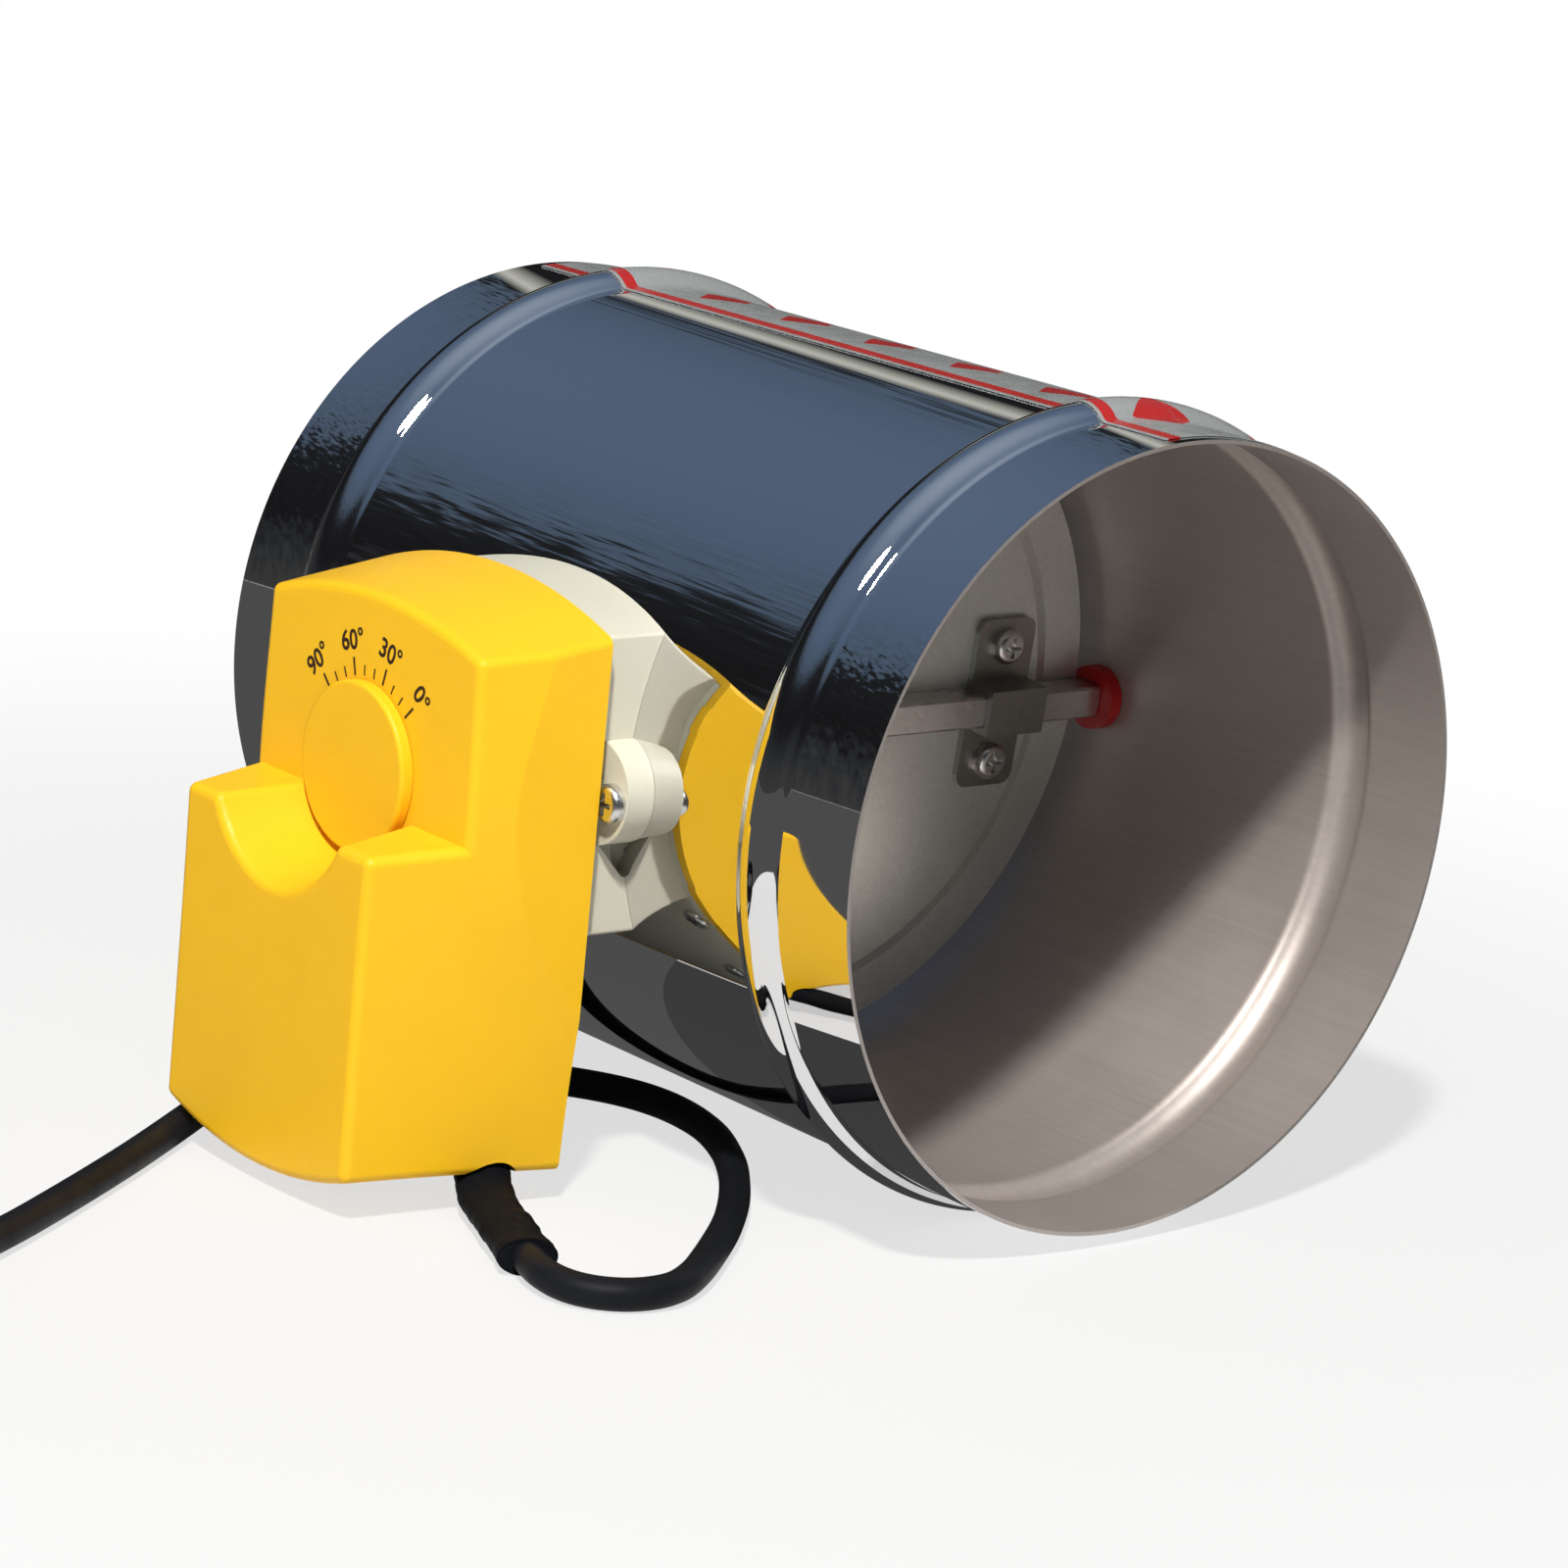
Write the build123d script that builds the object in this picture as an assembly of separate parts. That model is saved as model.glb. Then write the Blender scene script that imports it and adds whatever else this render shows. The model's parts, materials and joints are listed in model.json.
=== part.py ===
from build123d import *
import math
import os

# Motorized round duct damper, in millimetres.
# Everything is modelled about the crossing of the duct's axis (X) and the damper shaft's axis (Y),
# with +Z up and the actuator on the -Y side. The finished pieces are moved along X at the end, so
# that the origin is the centre of the back collar's mouth and the air runs along +X.

# Duct shell
DUCT_R = 80.0
DUCT_LENGTH = 204.0
SHEET = 0.8
BEAD_X = 75.5
BEAD_WIDTH = 13.0
BEAD_HEIGHT = 3.0
BEAD_FOOT_R = 2.0

# Film strip along the top
FILM_THICK = 0.2
FILM_LIFT = 0.1
FILM_NEAR_DEG = 6.0
FILM_FAR_DEG = 28.0
FILM_END_MARGIN = 3.0

# Fits and clearances
RUN_GAP = 0.05
FIT_GAP = 0.2
THRUST_GAP = 0.3

# Blade, at its angle in the photograph
REST_DEG = 5.0
BAR_SIDE = 7.0
BAR_CHAMFER = 0.5
JOURNAL_R = 3.4
SHAFT_FLAT = 2.5
DISC_GAP = 4.2
DISC_THICK = 1.5
DISC_RING_INSET = 13.0
DISC_RING_WIDTH = 3.0
DISC_RING_STEP = 0.8
STRAP_INSET = 25.0
STRAP_WIDTH = 16.0
STRAP_THICK = 1.5
STRAP_REACH = 19.0
STRAP_SCREW_Z = 13.0
STRAP_CORNER_R = 3.0
STRAP_SCREW_GRIP = 4.5
NUT_R = 4.0
NUT_TALL = 3.2

# Bushes in the duct wall
BUSH_R = 5.0
BUSH_FLANGE_R = 7.0
BUSH_FLANGE_THICK = 3.2
BUSH_LIP_R = 6.0
BUSH_OUTSIDE = 4.0
BUSH_END_WALL = 1.0

# Ivory flange in two layers, by how far they stand off the duct
SADDLE_DEPTH = 4.5
ADAPTER_THICK = 5.0
FLANGE_HALF = 34.3
FLANGE_TOP_CORNER = 31.4
FLANGE_TOP_CROWN = 37.4
FLANGE_LOW_CORNER = -28.6
FLANGE_LOW_CROWN = -30.5
FLANGE_EDGE_R = 0.8
EAR_X = 32.9
EAR_Z = 0.4
EAR_R = 10.5
EAR_THICK = 1.9
EAR_SCREW = (38.8, -0.6)
EAR_NOTCH_WIDTH = 5.6
EAR_NOTCH_DROP = 7.2
EAR_NOTCH_DEPTH = 4.0
EAR_NOTCH_TIP = 1.0
FLANGE_SCREW_LENGTH = 5.7
SHAFT_ROOM = 1.0
SADDLE_SCREW_X = 27.0
SADDLE_SCREW_Z = (19.0, -16.0)
SADDLE_SCREW_LENGTH = 7.0

# Actuator cover, with depths from its back rim
COVER_WALL = 2.2
UPPER_FACE_DEPTH = 28.9
LOWER_FACE_DEPTH = 48.5
COVER_HALF_BACK = 38.3
COVER_HALF_FRONT = 37.6
TOP_CROWN_BACK = 39.0
TOP_CROWN_FRONT = 31.3
TOP_ARC_R = 107.0
LOW_CROWN_BACK = -79.5
LOW_CROWN_FRONT = -79.0
LOW_ARC_R_BACK = 165.0
LOW_ARC_R_FRONT = 90.0
LEDGE_BACK_Z = -7.6
LEDGE_FRONT_Z = -9.6
CREASE_X = 38.1
FRONT_EDGE_X = 31.0
CREASE = ((-27.5, -86), (0, -48), (13.8, -27), (19.1, -5), (16.2, 15), (11.5, 45))
CREASE_OVER = 3.0
KNOB_R = 17.0
KNOB_THICK = 2.6
KNOB_HUB_R = 7.0
KNOB_HUB_LENGTH = 7.0
KNOB_RIM_R = 0.9
SCALLOP_BACK_R = 18.4
SCALLOP_FRONT_R = 22.5
COVER_EDGE_R = 2.0

# Base plate and what stands on it
BASE_THICK = 3.0
COVER_SCREWS = ((32.4, -36.0), (30.4, -62.0))
COVER_BOSS_R = 3.4
COVER_BOSS_LENGTH = 14.0
COVER_BOSS_FLOOR = 3.0
COVER_SCREW_GRIP = 8.0
ADAPTER_SCREWS = ((26.0, 26.0), (30.0, -18.0))
ADAPTER_SCREW_GRIP = 4.0
COLUMN_X = 29.5
COLUMN_Z = 14.0
COLUMN_R = 3.0
COLUMN_LENGTH = 11.7
COLUMN_HOLE = 7.0

# Drive train
MODULE = 1.0
GEAR_TEETH = 45
PINION_TEETH = 15
BACKLASH = 0.12
CENTRE_GAP = 0.12
GEAR_LIFT = 2.0
GEAR_THICK = 6.0
GEAR_HUB_R = 6.5
GEAR_HUB_LENGTH = 2.5
GEAR_WEB_R = (9.0, 17.5)
GEAR_WEB_STEP = 1.6
CLIP_THICK = 0.8
CLIP_R = 6.0
CLIP_SLOT = 2.2
SWITCH_PLATE_TOP = (20.0, 25.0)
SWITCH_SCREW_GRIP = 5.0
SWITCH_PLATE_THICK = 1.0
SWITCH_SIZE = (19.8, 6.4, 10.2)
SWITCH_TIP_R = 12.4
SWITCH_BUTTON_R = 1.2
SWITCH_BUTTON_LENGTH = 1.2
SWITCH_CORNER = 0.8
SWITCH_HOLE_R = 1.1
SWITCH_HOLE_X = 4.8
SWITCH_TABS_X = (-6.5, 0.5, 7.0)
SWITCH_TAB = (3.0, 0.6, 2.5)
CAM_R = 9.0
CAM_LOBE_R = 11.9
CAM_LOBE_DEG = 130.0
CAM_LOBE_SPAN = 36.0
CAM_THICK = 4.0
CAM_ROOM = 0.6

# Motor
MOTOR_R = 24.0
MOTOR_Z = -50.0
MOTOR_LENGTH = 28.0
MOTOR_EDGE_R = 2.0
MOTOR_GROOVE_AT = 12.4
MOTOR_GROOVE_WIDTH = 1.2
MOTOR_GROOVE_DEPTH = 0.6
MOTOR_PLATE_THICK = 1.2
MOTOR_BOSS_R = 4.5
MOTOR_BOSS_TALL = 1.5
MOTOR_SHAFT_R = 2.5
MOTOR_SHAFT_GRIP = 4.0
PILLAR_R = 2.75
PILLAR_LENGTH = 12.5
PILLAR_HOLE = 7.0
PILLAR_SCREW_GRIP = 5.0
PLATE_MARGIN = 1.0
PILLARS = ((-22.0, -27.0), (22.0, -27.0), (-22.0, -70.0), (27.0, -46.0))

# Circuit board and terminals
BOARD_X = (-18.0, 12.0)
BOARD_Z = (-66.0, -42.0)
BOARD_THICK = 1.6
BOARD_CORNER = 1.0
BOARD_STANDOFF = 3.5
BOARD_BOSS_R = 2.2
BOARD_BOSS_INSET = 3.0
TERMINAL_X = (-16.0, 10.0)
TERMINAL_Z = (-65.0, -55.5)
TERMINAL_TALL = 6.2
TERMINAL_WAYS = 6
TERMINAL_SCREW_R = 1.6
TERMINAL_SCREW_RISE = 6.3
TERMINAL_MOUTH = (3.0, 3.0, 3.0)
TERMINAL_MOUTH_RISE = 1.2

# Cable, its places across the duct counted from the cover's back rim
CABLE_R = 3.2
SLEEVE_HALF_WIDTH = 6.0
SLEEVE_HALF_THICK = 3.8
SLEEVE_BEND_R = 14.0
SLEEVE_START = (20.0, -9.0)
SLEEVE_START_Z = -68.0
SLEEVE_BEND = (36.0, -17.5)
SLEEVE_END = (67.0, -30.5)
SLEEVE_NOSE = 9.0
CABLE_ROUTE = (
    (84.5, -32.0), (91.0, -25.0), (92.0, -15.5), (87.5, -6.5), (78.0, 5.5), (66.0, 19.5), (51.0, 33.5),
    (34.0, 46.0), (15.0, 55.0), (-5.0, 56.0), (-22.0, 46.5), (-35.0, 30.0), (-43.5, 9.5), (-45.5, -11.5),
    (-39.5, -30.5), (-27.5, -47.5), (-13.5, -68.0), (1.0, -91.0), (14.5, -113.5),
)
COIL_ENTRY = (26.5, -135.5)
COIL_MID_R = 35.0
COIL_LIFT = 1.2
COIL_END_DEG = 138.6
COIL_TOP_SPAN = 280.0
TIE_DEG = 200.0
TIE_WIDTH = 5.0
TIE_THICK = 1.0
CORE_R = 0.9
CORE_LENGTH = 22.0
CLAMP_X = (18.0, 26.0)
CLAMP_Z = (-74.5, -60.5)
CLAMP_DEPTH = 11.9
CLAMP_SCREW = (22.0, -62.4)
CLAMP_SCREW_R = 1.0
CLAMP_SCREW_GRIP = 1.2

# Screws
M4_HEAD_R = 4.0
M4_HEAD_TALL = 2.6
M4_R = 2.0
M3_HEAD_R = 2.8
M3_HEAD_TALL = 2.0
M3_R = 1.5
HOLE_GAP = 0.2

# How far a cut runs past the faces it opens
CUT_OVER = 1.0
FRONT_OVER = 5.0

# Places worked out from the sizes above
floor_z = -(DUCT_R + BEAD_HEIGHT)
duct_inner_r = DUCT_R - SHEET
bush_seat_y = math.sqrt(duct_inner_r**2 - BUSH_FLANGE_R**2) - RUN_GAP
bush_face_y = bush_seat_y - BUSH_FLANGE_THICK
bush_bottom_y = DUCT_R + BUSH_OUTSIDE - BUSH_END_WALL
bar_end_y = bush_face_y - THRUST_GAP
disc_r = duct_inner_r - DISC_GAP
disc_ring_r = disc_r - DISC_RING_INSET
disc_front_x = -BAR_SIDE / 2
strap_y = disc_r - STRAP_INSET
split_y = -(DUCT_R + SADDLE_DEPTH)
ear_front_y = split_y - EAR_THICK
cover_back_y = split_y - ADAPTER_THICK
upper_face_y = cover_back_y - UPPER_FACE_DEPTH
lower_face_y = cover_back_y - LOWER_FACE_DEPTH
base_front_y = cover_back_y - BASE_THICK
gear_back_y = base_front_y - GEAR_LIFT
gear_front_y = gear_back_y - GEAR_THICK
gear_hub_front_y = gear_front_y - GEAR_HUB_LENGTH
centre_distance = MODULE * (GEAR_TEETH + PINION_TEETH) / 2 + CENTRE_GAP
motor_plate_y = base_front_y - PILLAR_LENGTH
motor_back_y = motor_plate_y - MOTOR_PLATE_THICK
switch_plate_y = base_front_y - COLUMN_LENGTH
switch_back_y = switch_plate_y - SWITCH_PLATE_THICK
knob_back_y = upper_face_y - THRUST_GAP
knob_front_y = knob_back_y - KNOB_THICK
shaft_tip_y = knob_back_y - 0.4 * KNOB_THICK
cable_z = floor_z + CABLE_R
sleeve_z = floor_z + SLEEVE_HALF_THICK


def y_plane(y):
    """Plane square to the shaft, read as X across and Z up, that faces the actuator side."""
    return Plane.XZ.offset(-y)


def y_prism(sketch, y_from, y_to):
    """A sketch in X and Z pushed from y_from to the lower y_to."""
    return extrude(y_plane(y_from) * sketch, amount=y_from - y_to)


def y_rod(radius, y_from, y_to, x=0.0, z=0.0):
    return y_prism(Pos(x, z) * Circle(radius), y_from, y_to)


def block(x_span, y_span, z_span):
    size = [abs(b - a) for a, b in (x_span, y_span, z_span)]
    centre = [(a + b) / 2 for a, b in (x_span, y_span, z_span)]
    return Pos(*centre) * Box(*size)


def mirrored_x(points):
    return [(side * x, z) for x, z in points for side in (-1, 1)]


def both_sides(solid):
    return solid + mirror(solid, about=Plane.YZ)


def total(solids):
    return Part() + list(solids)


def pan_screw(head_r, head_tall, shank_r, shank_length):
    """Pan-head screw with a cross recess, its seat at the origin and its head towards +Z."""
    head = extrude(Circle(head_r), head_tall)
    head = fillet(head.faces().sort_by(Axis.Z)[-1].edges(), 0.6 * head_tall)
    slot = Rectangle(1.15 * head_r, 0.26 * head_r) + Rectangle(0.26 * head_r, 1.15 * head_r)
    recess = Pos(0, 0, 0.55 * head_tall) * extrude(slot, head_tall)
    return head - recess + extrude(Circle(shank_r), -shank_length)


def screw_towards(direction, seat, screw):
    """A screw set on its seat, with its head towards the given direction."""
    return Plane(origin=seat, z_dir=direction).location * screw


# Duct shell and film strip

def bead_points(offset):
    """Points of one bead's outline, from foot to foot, at a radial offset from the sheet's outside."""
    half = BEAD_WIDTH / 2
    reach = (half**2 + BEAD_HEIGHT**2) / (2 * BEAD_HEIGHT)
    crown_r = reach - BEAD_FOOT_R
    crown_z = DUCT_R + BEAD_HEIGHT - crown_r
    lean = Vector(-half, reach - BEAD_HEIGHT) / reach
    foot_centre = Vector(-half, DUCT_R + BEAD_FOOT_R)
    foot_mid = (Vector(0, -1) - lean).normalized() * (BEAD_FOOT_R - offset)
    left = [
        Vector(-half, DUCT_R + offset),
        foot_centre + foot_mid,
        Vector(0, crown_z) + lean * (crown_r + offset),
    ]
    right = [Vector(-p.X, p.Y) for p in reversed(left)]
    return left + [Vector(0, crown_z + crown_r + offset)] + right


def sheet_line(offset, half_length):
    """Edges of the duct's outline from end to end, at a radial offset from its outside."""
    edges = []
    start = Vector(-half_length, DUCT_R + offset)
    for bead_x in (-BEAD_X, BEAD_X):
        p = [q + Vector(bead_x, 0) for q in bead_points(offset)]
        edges += [Line(start, p[0]), ThreePointArc(p[0], p[1], p[2]), ThreePointArc(p[2], p[3], p[4])]
        edges += [ThreePointArc(p[4], p[5], p[6])]
        start = p[6]
    edges += [Line(start, Vector(half_length, DUCT_R + offset))]
    return edges


def sheet_section(inner, outer, half_length):
    ends = [Line((s * half_length, DUCT_R + inner), (s * half_length, DUCT_R + outer)) for s in (-1, 1)]
    return Plane.XZ * make_face(sheet_line(inner, half_length) + sheet_line(outer, half_length) + ends)


def make_duct_shell():
    shell = revolve(sheet_section(-SHEET, 0, DUCT_LENGTH / 2), Axis.X)
    shell -= y_rod(BUSH_R + FIT_GAP, DUCT_R + CUT_OVER, -DUCT_R - CUT_OVER)
    for x, z in saddle_screw_places():
        shell -= y_rod(M4_R + HOLE_GAP, 0, -DUCT_R - CUT_OVER, x, z)
    return shell


def make_film_strip():
    section = sheet_section(FILM_LIFT, FILM_LIFT + FILM_THICK, DUCT_LENGTH / 2 - FILM_END_MARGIN)
    return Rot(X=-FILM_FAR_DEG) * revolve(section, Axis.X, FILM_FAR_DEG + FILM_NEAR_DEG)


# Bushes, shaft and blade

def make_far_bush():
    bush = y_rod(BUSH_FLANGE_R, bush_seat_y, bush_face_y)
    bush += y_rod(BUSH_R, DUCT_R + BUSH_OUTSIDE, bush_seat_y)
    bush += y_rod(BUSH_LIP_R, DUCT_R + BUSH_OUTSIDE / 2, DUCT_R + RUN_GAP)
    return bush - y_rod(JOURNAL_R + RUN_GAP, bush_bottom_y, bush_face_y)


def make_near_bush():
    bush = y_rod(BUSH_FLANGE_R, -bush_face_y, -bush_seat_y) + y_rod(BUSH_R, -bush_seat_y, split_y)
    return bush - y_rod(JOURNAL_R + RUN_GAP, -bush_face_y, split_y)


def turned(solid):
    """A blade piece turned from shut to its angle in the photograph."""
    return Rot(Y=REST_DEG) * solid


def shaft_section(gap):
    flat_side = Pos(SHAFT_FLAT + gap + JOURNAL_R, 0) * Rectangle(2 * JOURNAL_R, 4 * JOURNAL_R)
    return Circle(JOURNAL_R + gap) - flat_side


def make_shaft():
    bar = chamfer(Box(BAR_SIDE, 2 * bar_end_y, BAR_SIDE).edges().filter_by(Axis.Y), BAR_CHAMFER)
    shaft = bar + y_rod(JOURNAL_R, bush_bottom_y - THRUST_GAP, base_front_y)
    return turned(shaft + y_prism(shaft_section(0), base_front_y, shaft_tip_y))


def make_blade_disc():
    step_x = disc_front_x - DISC_RING_STEP
    ring_end = disc_ring_r + DISC_RING_WIDTH
    front = [(disc_front_x, 0), (disc_front_x, disc_ring_r), (step_x, ring_end), (step_x, disc_r)]
    back = [(x - DISC_THICK, r) for x, r in reversed(front)]
    disc = revolve(Plane.XZ * make_face(Polyline(*front, *back, close=True)), Axis.X)
    for y, z in strap_screw_places():
        disc -= Pos(disc_front_x, y, z) * Rot(Y=90) * Cylinder(M4_R + HOLE_GAP, 4 * DISC_THICK)
    return turned(disc)


def strap_screw_places():
    return [(y, z) for y in (-strap_y, strap_y) for z in (-STRAP_SCREW_Z, STRAP_SCREW_Z)]


def make_strap(y):
    bar_in = BAR_SIDE / 2 + RUN_GAP
    bar_out = bar_in + STRAP_THICK
    tab_x = disc_front_x + STRAP_THICK
    half = [(bar_out, 0), (bar_out, bar_out), (tab_x, bar_out), (tab_x, STRAP_REACH)]
    half += [(disc_front_x, STRAP_REACH), (disc_front_x, bar_in), (bar_in, bar_in), (bar_in, 0)]
    strap = extrude(Plane.XZ * make_face(Polyline(*half, close=True)), STRAP_WIDTH / 2, both=True)
    corners = strap.edges().filter_by(Axis.X).sort_by(Axis.Z)[-2:]
    strap = fillet(corners, STRAP_CORNER_R)
    strap += mirror(strap, about=Plane.XY)
    for z in (-STRAP_SCREW_Z, STRAP_SCREW_Z):
        strap -= Pos(tab_x, 0, z) * Rot(Y=90) * Cylinder(M4_R + HOLE_GAP, 4 * STRAP_THICK)
    return turned(Pos(0, y, 0) * strap)


def make_strap_screws():
    length = STRAP_THICK + DISC_THICK + STRAP_SCREW_GRIP
    screw = pan_screw(M4_HEAD_R, M4_HEAD_TALL, M4_R, length)
    seat_x = disc_front_x + STRAP_THICK
    return turned(total(screw_towards((1, 0, 0), (seat_x, y, z), screw) for y, z in strap_screw_places()))


def make_strap_nuts():
    nut = extrude(RegularPolygon(NUT_R, 6) - Circle(M4_R + RUN_GAP), NUT_TALL)
    seat_x = disc_front_x - DISC_THICK
    places = [Plane(origin=(seat_x, y, z), z_dir=(-1, 0, 0)) for y, z in strap_screw_places()]
    return turned(total(place.location * nut for place in places))


# Ivory saddle and adapter

def saddle_screw_places():
    return mirrored_x((SADDLE_SCREW_X, z) for z in SADDLE_SCREW_Z)


def flange_outline():
    right_top, right_low = (FLANGE_HALF, FLANGE_TOP_CORNER), (FLANGE_HALF, FLANGE_LOW_CORNER)
    left_top, left_low = (-FLANGE_HALF, FLANGE_TOP_CORNER), (-FLANGE_HALF, FLANGE_LOW_CORNER)
    outline = make_face([
        Line(right_low, right_top),
        ThreePointArc(right_top, (0, FLANGE_TOP_CROWN), left_top),
        Line(left_top, left_low),
        ThreePointArc(left_low, (0, FLANGE_LOW_CROWN), right_low),
    ])
    return fillet(outline.vertices(), FLANGE_EDGE_R)


def ear_notches():
    """Slanted reliefs in the flange's sides, under the ears and next to the duct."""
    top_z = EAR_Z - EAR_R
    tip = (-DUCT_R + EAR_NOTCH_TIP, top_z - EAR_NOTCH_DROP)
    outline = Polyline((-DUCT_R - EAR_NOTCH_WIDTH, top_z), (-DUCT_R / 2, top_z), (-DUCT_R / 2, tip[1]), tip,
                       close=True)
    notch = extrude(Plane.YZ.offset(FLANGE_HALF - EAR_NOTCH_DEPTH) * make_face(outline), FLANGE_HALF)
    return both_sides(notch)


def flange_layer(y_back, y_front, ear_front):
    layer = y_prism(flange_outline(), y_back, y_front) - ear_notches()
    for side in (-1, 1):
        layer += y_rod(EAR_R, y_back, ear_front, side * EAR_X, EAR_Z)
        layer -= y_rod(M4_R + HOLE_GAP, y_back + CUT_OVER, ear_front - CUT_OVER,
                       side * EAR_SCREW[0], EAR_SCREW[1])
        layer -= ear_screw_room(side)
    return layer


def ear_screw_room(side):
    """Room for an ear screw's head where the flange stands beside it."""
    return y_rod(M4_HEAD_R + FIT_GAP, ear_front_y, 2 * ear_front_y, side * EAR_SCREW[0], EAR_SCREW[1])


def make_saddle_flange():
    duct_space = Rot(Y=90) * Cylinder(DUCT_R + RUN_GAP, 2 * DUCT_LENGTH)
    saddle = flange_layer(-DUCT_R / 2, split_y, split_y) - duct_space
    saddle -= y_rod(BUSH_R + FIT_GAP, 0, split_y - CUT_OVER)
    for x, z in saddle_screw_places():
        saddle -= y_rod(M4_R + HOLE_GAP, 0, split_y - CUT_OVER, x, z)
        saddle -= y_rod(M4_HEAD_R + FIT_GAP, split_y + M4_HEAD_TALL + FIT_GAP, split_y - CUT_OVER, x, z)
    return saddle


def make_saddle_screws():
    screw = pan_screw(M4_HEAD_R, M4_HEAD_TALL, M4_R, SADDLE_SCREW_LENGTH)
    seat_y = split_y + M4_HEAD_TALL + FIT_GAP
    places = saddle_screw_places()
    return total(screw_towards((0, -1, 0), (x, seat_y, z), screw) for x, z in places)


def make_adapter_flange():
    adapter = flange_layer(split_y, cover_back_y, ear_front_y)
    adapter -= y_rod(JOURNAL_R + SHAFT_ROOM, split_y + CUT_OVER, cover_back_y - CUT_OVER)
    for x, z in mirrored_x(ADAPTER_SCREWS):
        adapter -= y_rod(M3_R + RUN_GAP, split_y + CUT_OVER, cover_back_y - CUT_OVER, x, z)
    return adapter


def make_flange_screws():
    screw = pan_screw(M4_HEAD_R, M4_HEAD_TALL, M4_R, FLANGE_SCREW_LENGTH)
    places = mirrored_x([EAR_SCREW])
    return total(screw_towards((0, -1, 0), (x, ear_front_y, z), screw) for x, z in places)


# Actuator cover

def arc_drop(radius, half_width):
    return radius - math.sqrt(radius**2 - half_width**2)


def arched_outline(half, top_crown, low_crown, low_arc_r):
    top = top_crown - arc_drop(TOP_ARC_R, half)
    low = low_crown + arc_drop(low_arc_r, half)
    return make_face([
        Line((half, low), (half, top)),
        ThreePointArc((half, top), (0, top_crown), (-half, top)),
        Line((-half, top), (-half, low)),
        ThreePointArc((-half, low), (0, low_crown), (half, low)),
    ])


def crease_face(x):
    """Region in front of the side's tapered surface, cut square to X at the given place."""
    share = (x - CREASE_X) / (CREASE_X - FRONT_EDGE_X)
    curve = [Vector(x, cover_back_y - depth + share * (LOWER_FACE_DEPTH - depth), z) for depth, z in CREASE]
    far_y = 2 * lower_face_y
    low, high = Vector(x, far_y, curve[0].Z), Vector(x, far_y, curve[-1].Z)
    return make_face([Spline(curve), Line(curve[-1], high), Line(high, low), Line(low, curve[0])])


def side_relief(inset):
    """What the tapered, S-creased side surface takes off the cover's right side."""
    relief = loft([crease_face(CREASE_X + CREASE_OVER), crease_face(FRONT_EDGE_X - CREASE_OVER)], ruled=True)
    return Pos(-inset, 0, 0) * relief


def scallop(inset):
    """Tapered half-round valley below the knob, through the lower block."""
    taper = (SCALLOP_FRONT_R - SCALLOP_BACK_R) / (upper_face_y - lower_face_y)
    back_y, front_y = upper_face_y + inset, lower_face_y - FRONT_OVER
    radii = [SCALLOP_BACK_R + inset + taper * (upper_face_y - y) for y in (back_y, front_y)]
    return loft([y_plane(back_y) * Circle(radii[0]), y_plane(front_y) * Circle(radii[1])])


def cover_form(inset):
    """The cover's outer form, or the space inside it when drawn in by its wall."""
    back = arched_outline(COVER_HALF_BACK - inset, TOP_CROWN_BACK - inset,
                          LOW_CROWN_BACK + inset, LOW_ARC_R_BACK)
    front = arched_outline(COVER_HALF_FRONT - inset, TOP_CROWN_FRONT - inset,
                           LOW_CROWN_FRONT + inset, LOW_ARC_R_FRONT)
    form = loft([y_plane(cover_back_y) * back, y_plane(lower_face_y + inset) * front], ruled=True)
    form -= both_sides(side_relief(inset))
    face_y, front_y, top_z = upper_face_y + inset, lower_face_y - FRONT_OVER, 2 * TOP_CROWN_BACK
    above_ledge = Polyline((face_y, top_z), (face_y, LEDGE_BACK_Z - inset),
                           (front_y, LEDGE_FRONT_Z - inset), (front_y, top_z), close=True)
    form -= extrude(Plane.YZ * make_face(above_ledge), 2 * COVER_HALF_BACK, both=True)
    return form - scallop(inset)


def soft_edges(form):
    """The cover's form with its outer edges rounded, apart from its rim, side creases and ledge foot."""
    def kept_sharp(edge):
        box = edge.bounding_box()
        on_rim = box.min.Y > cover_back_y - RUN_GAP
        crease = box.max.Y > cover_back_y - RUN_GAP and box.size.Z > 0.5 * COVER_HALF_BACK
        ledge_foot = box.min.Y > upper_face_y - RUN_GAP and box.max.Z < LEDGE_BACK_Z + RUN_GAP
        return on_rim or crease or ledge_foot
    return fillet([edge for edge in form.edges() if not kept_sharp(edge)], COVER_EDGE_R)


def make_actuator_cover():
    outside = soft_edges(cover_form(0))
    cover = outside - cover_form(COVER_WALL)
    bosses = [y_rod(COVER_BOSS_R, base_front_y, base_front_y - COVER_BOSS_LENGTH, x, z)
              for x, z in mirrored_x(COVER_SCREWS)]
    cover += total(bosses) & outside
    hole_end = base_front_y - COVER_BOSS_LENGTH + COVER_BOSS_FLOOR
    for x, z in mirrored_x(COVER_SCREWS):
        cover -= y_rod(M3_R, base_front_y + CUT_OVER, hole_end, x, z)
    cover -= y_rod(KNOB_HUB_R + 2 * FIT_GAP, cover_back_y, lower_face_y)
    return cover - sleeve_form(FIT_GAP + THRUST_GAP)


def make_knob():
    disc = y_rod(KNOB_R, knob_back_y, knob_front_y)
    disc = fillet(disc.faces().sort_by(Axis.Y)[0].edges(), KNOB_RIM_R)
    hub_back_y = knob_back_y + KNOB_HUB_LENGTH
    knob = disc + y_rod(KNOB_HUB_R, hub_back_y, knob_back_y)
    return turned(knob - y_prism(shaft_section(RUN_GAP), hub_back_y, shaft_tip_y - RUN_GAP))


# Base plate and its fixings

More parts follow.
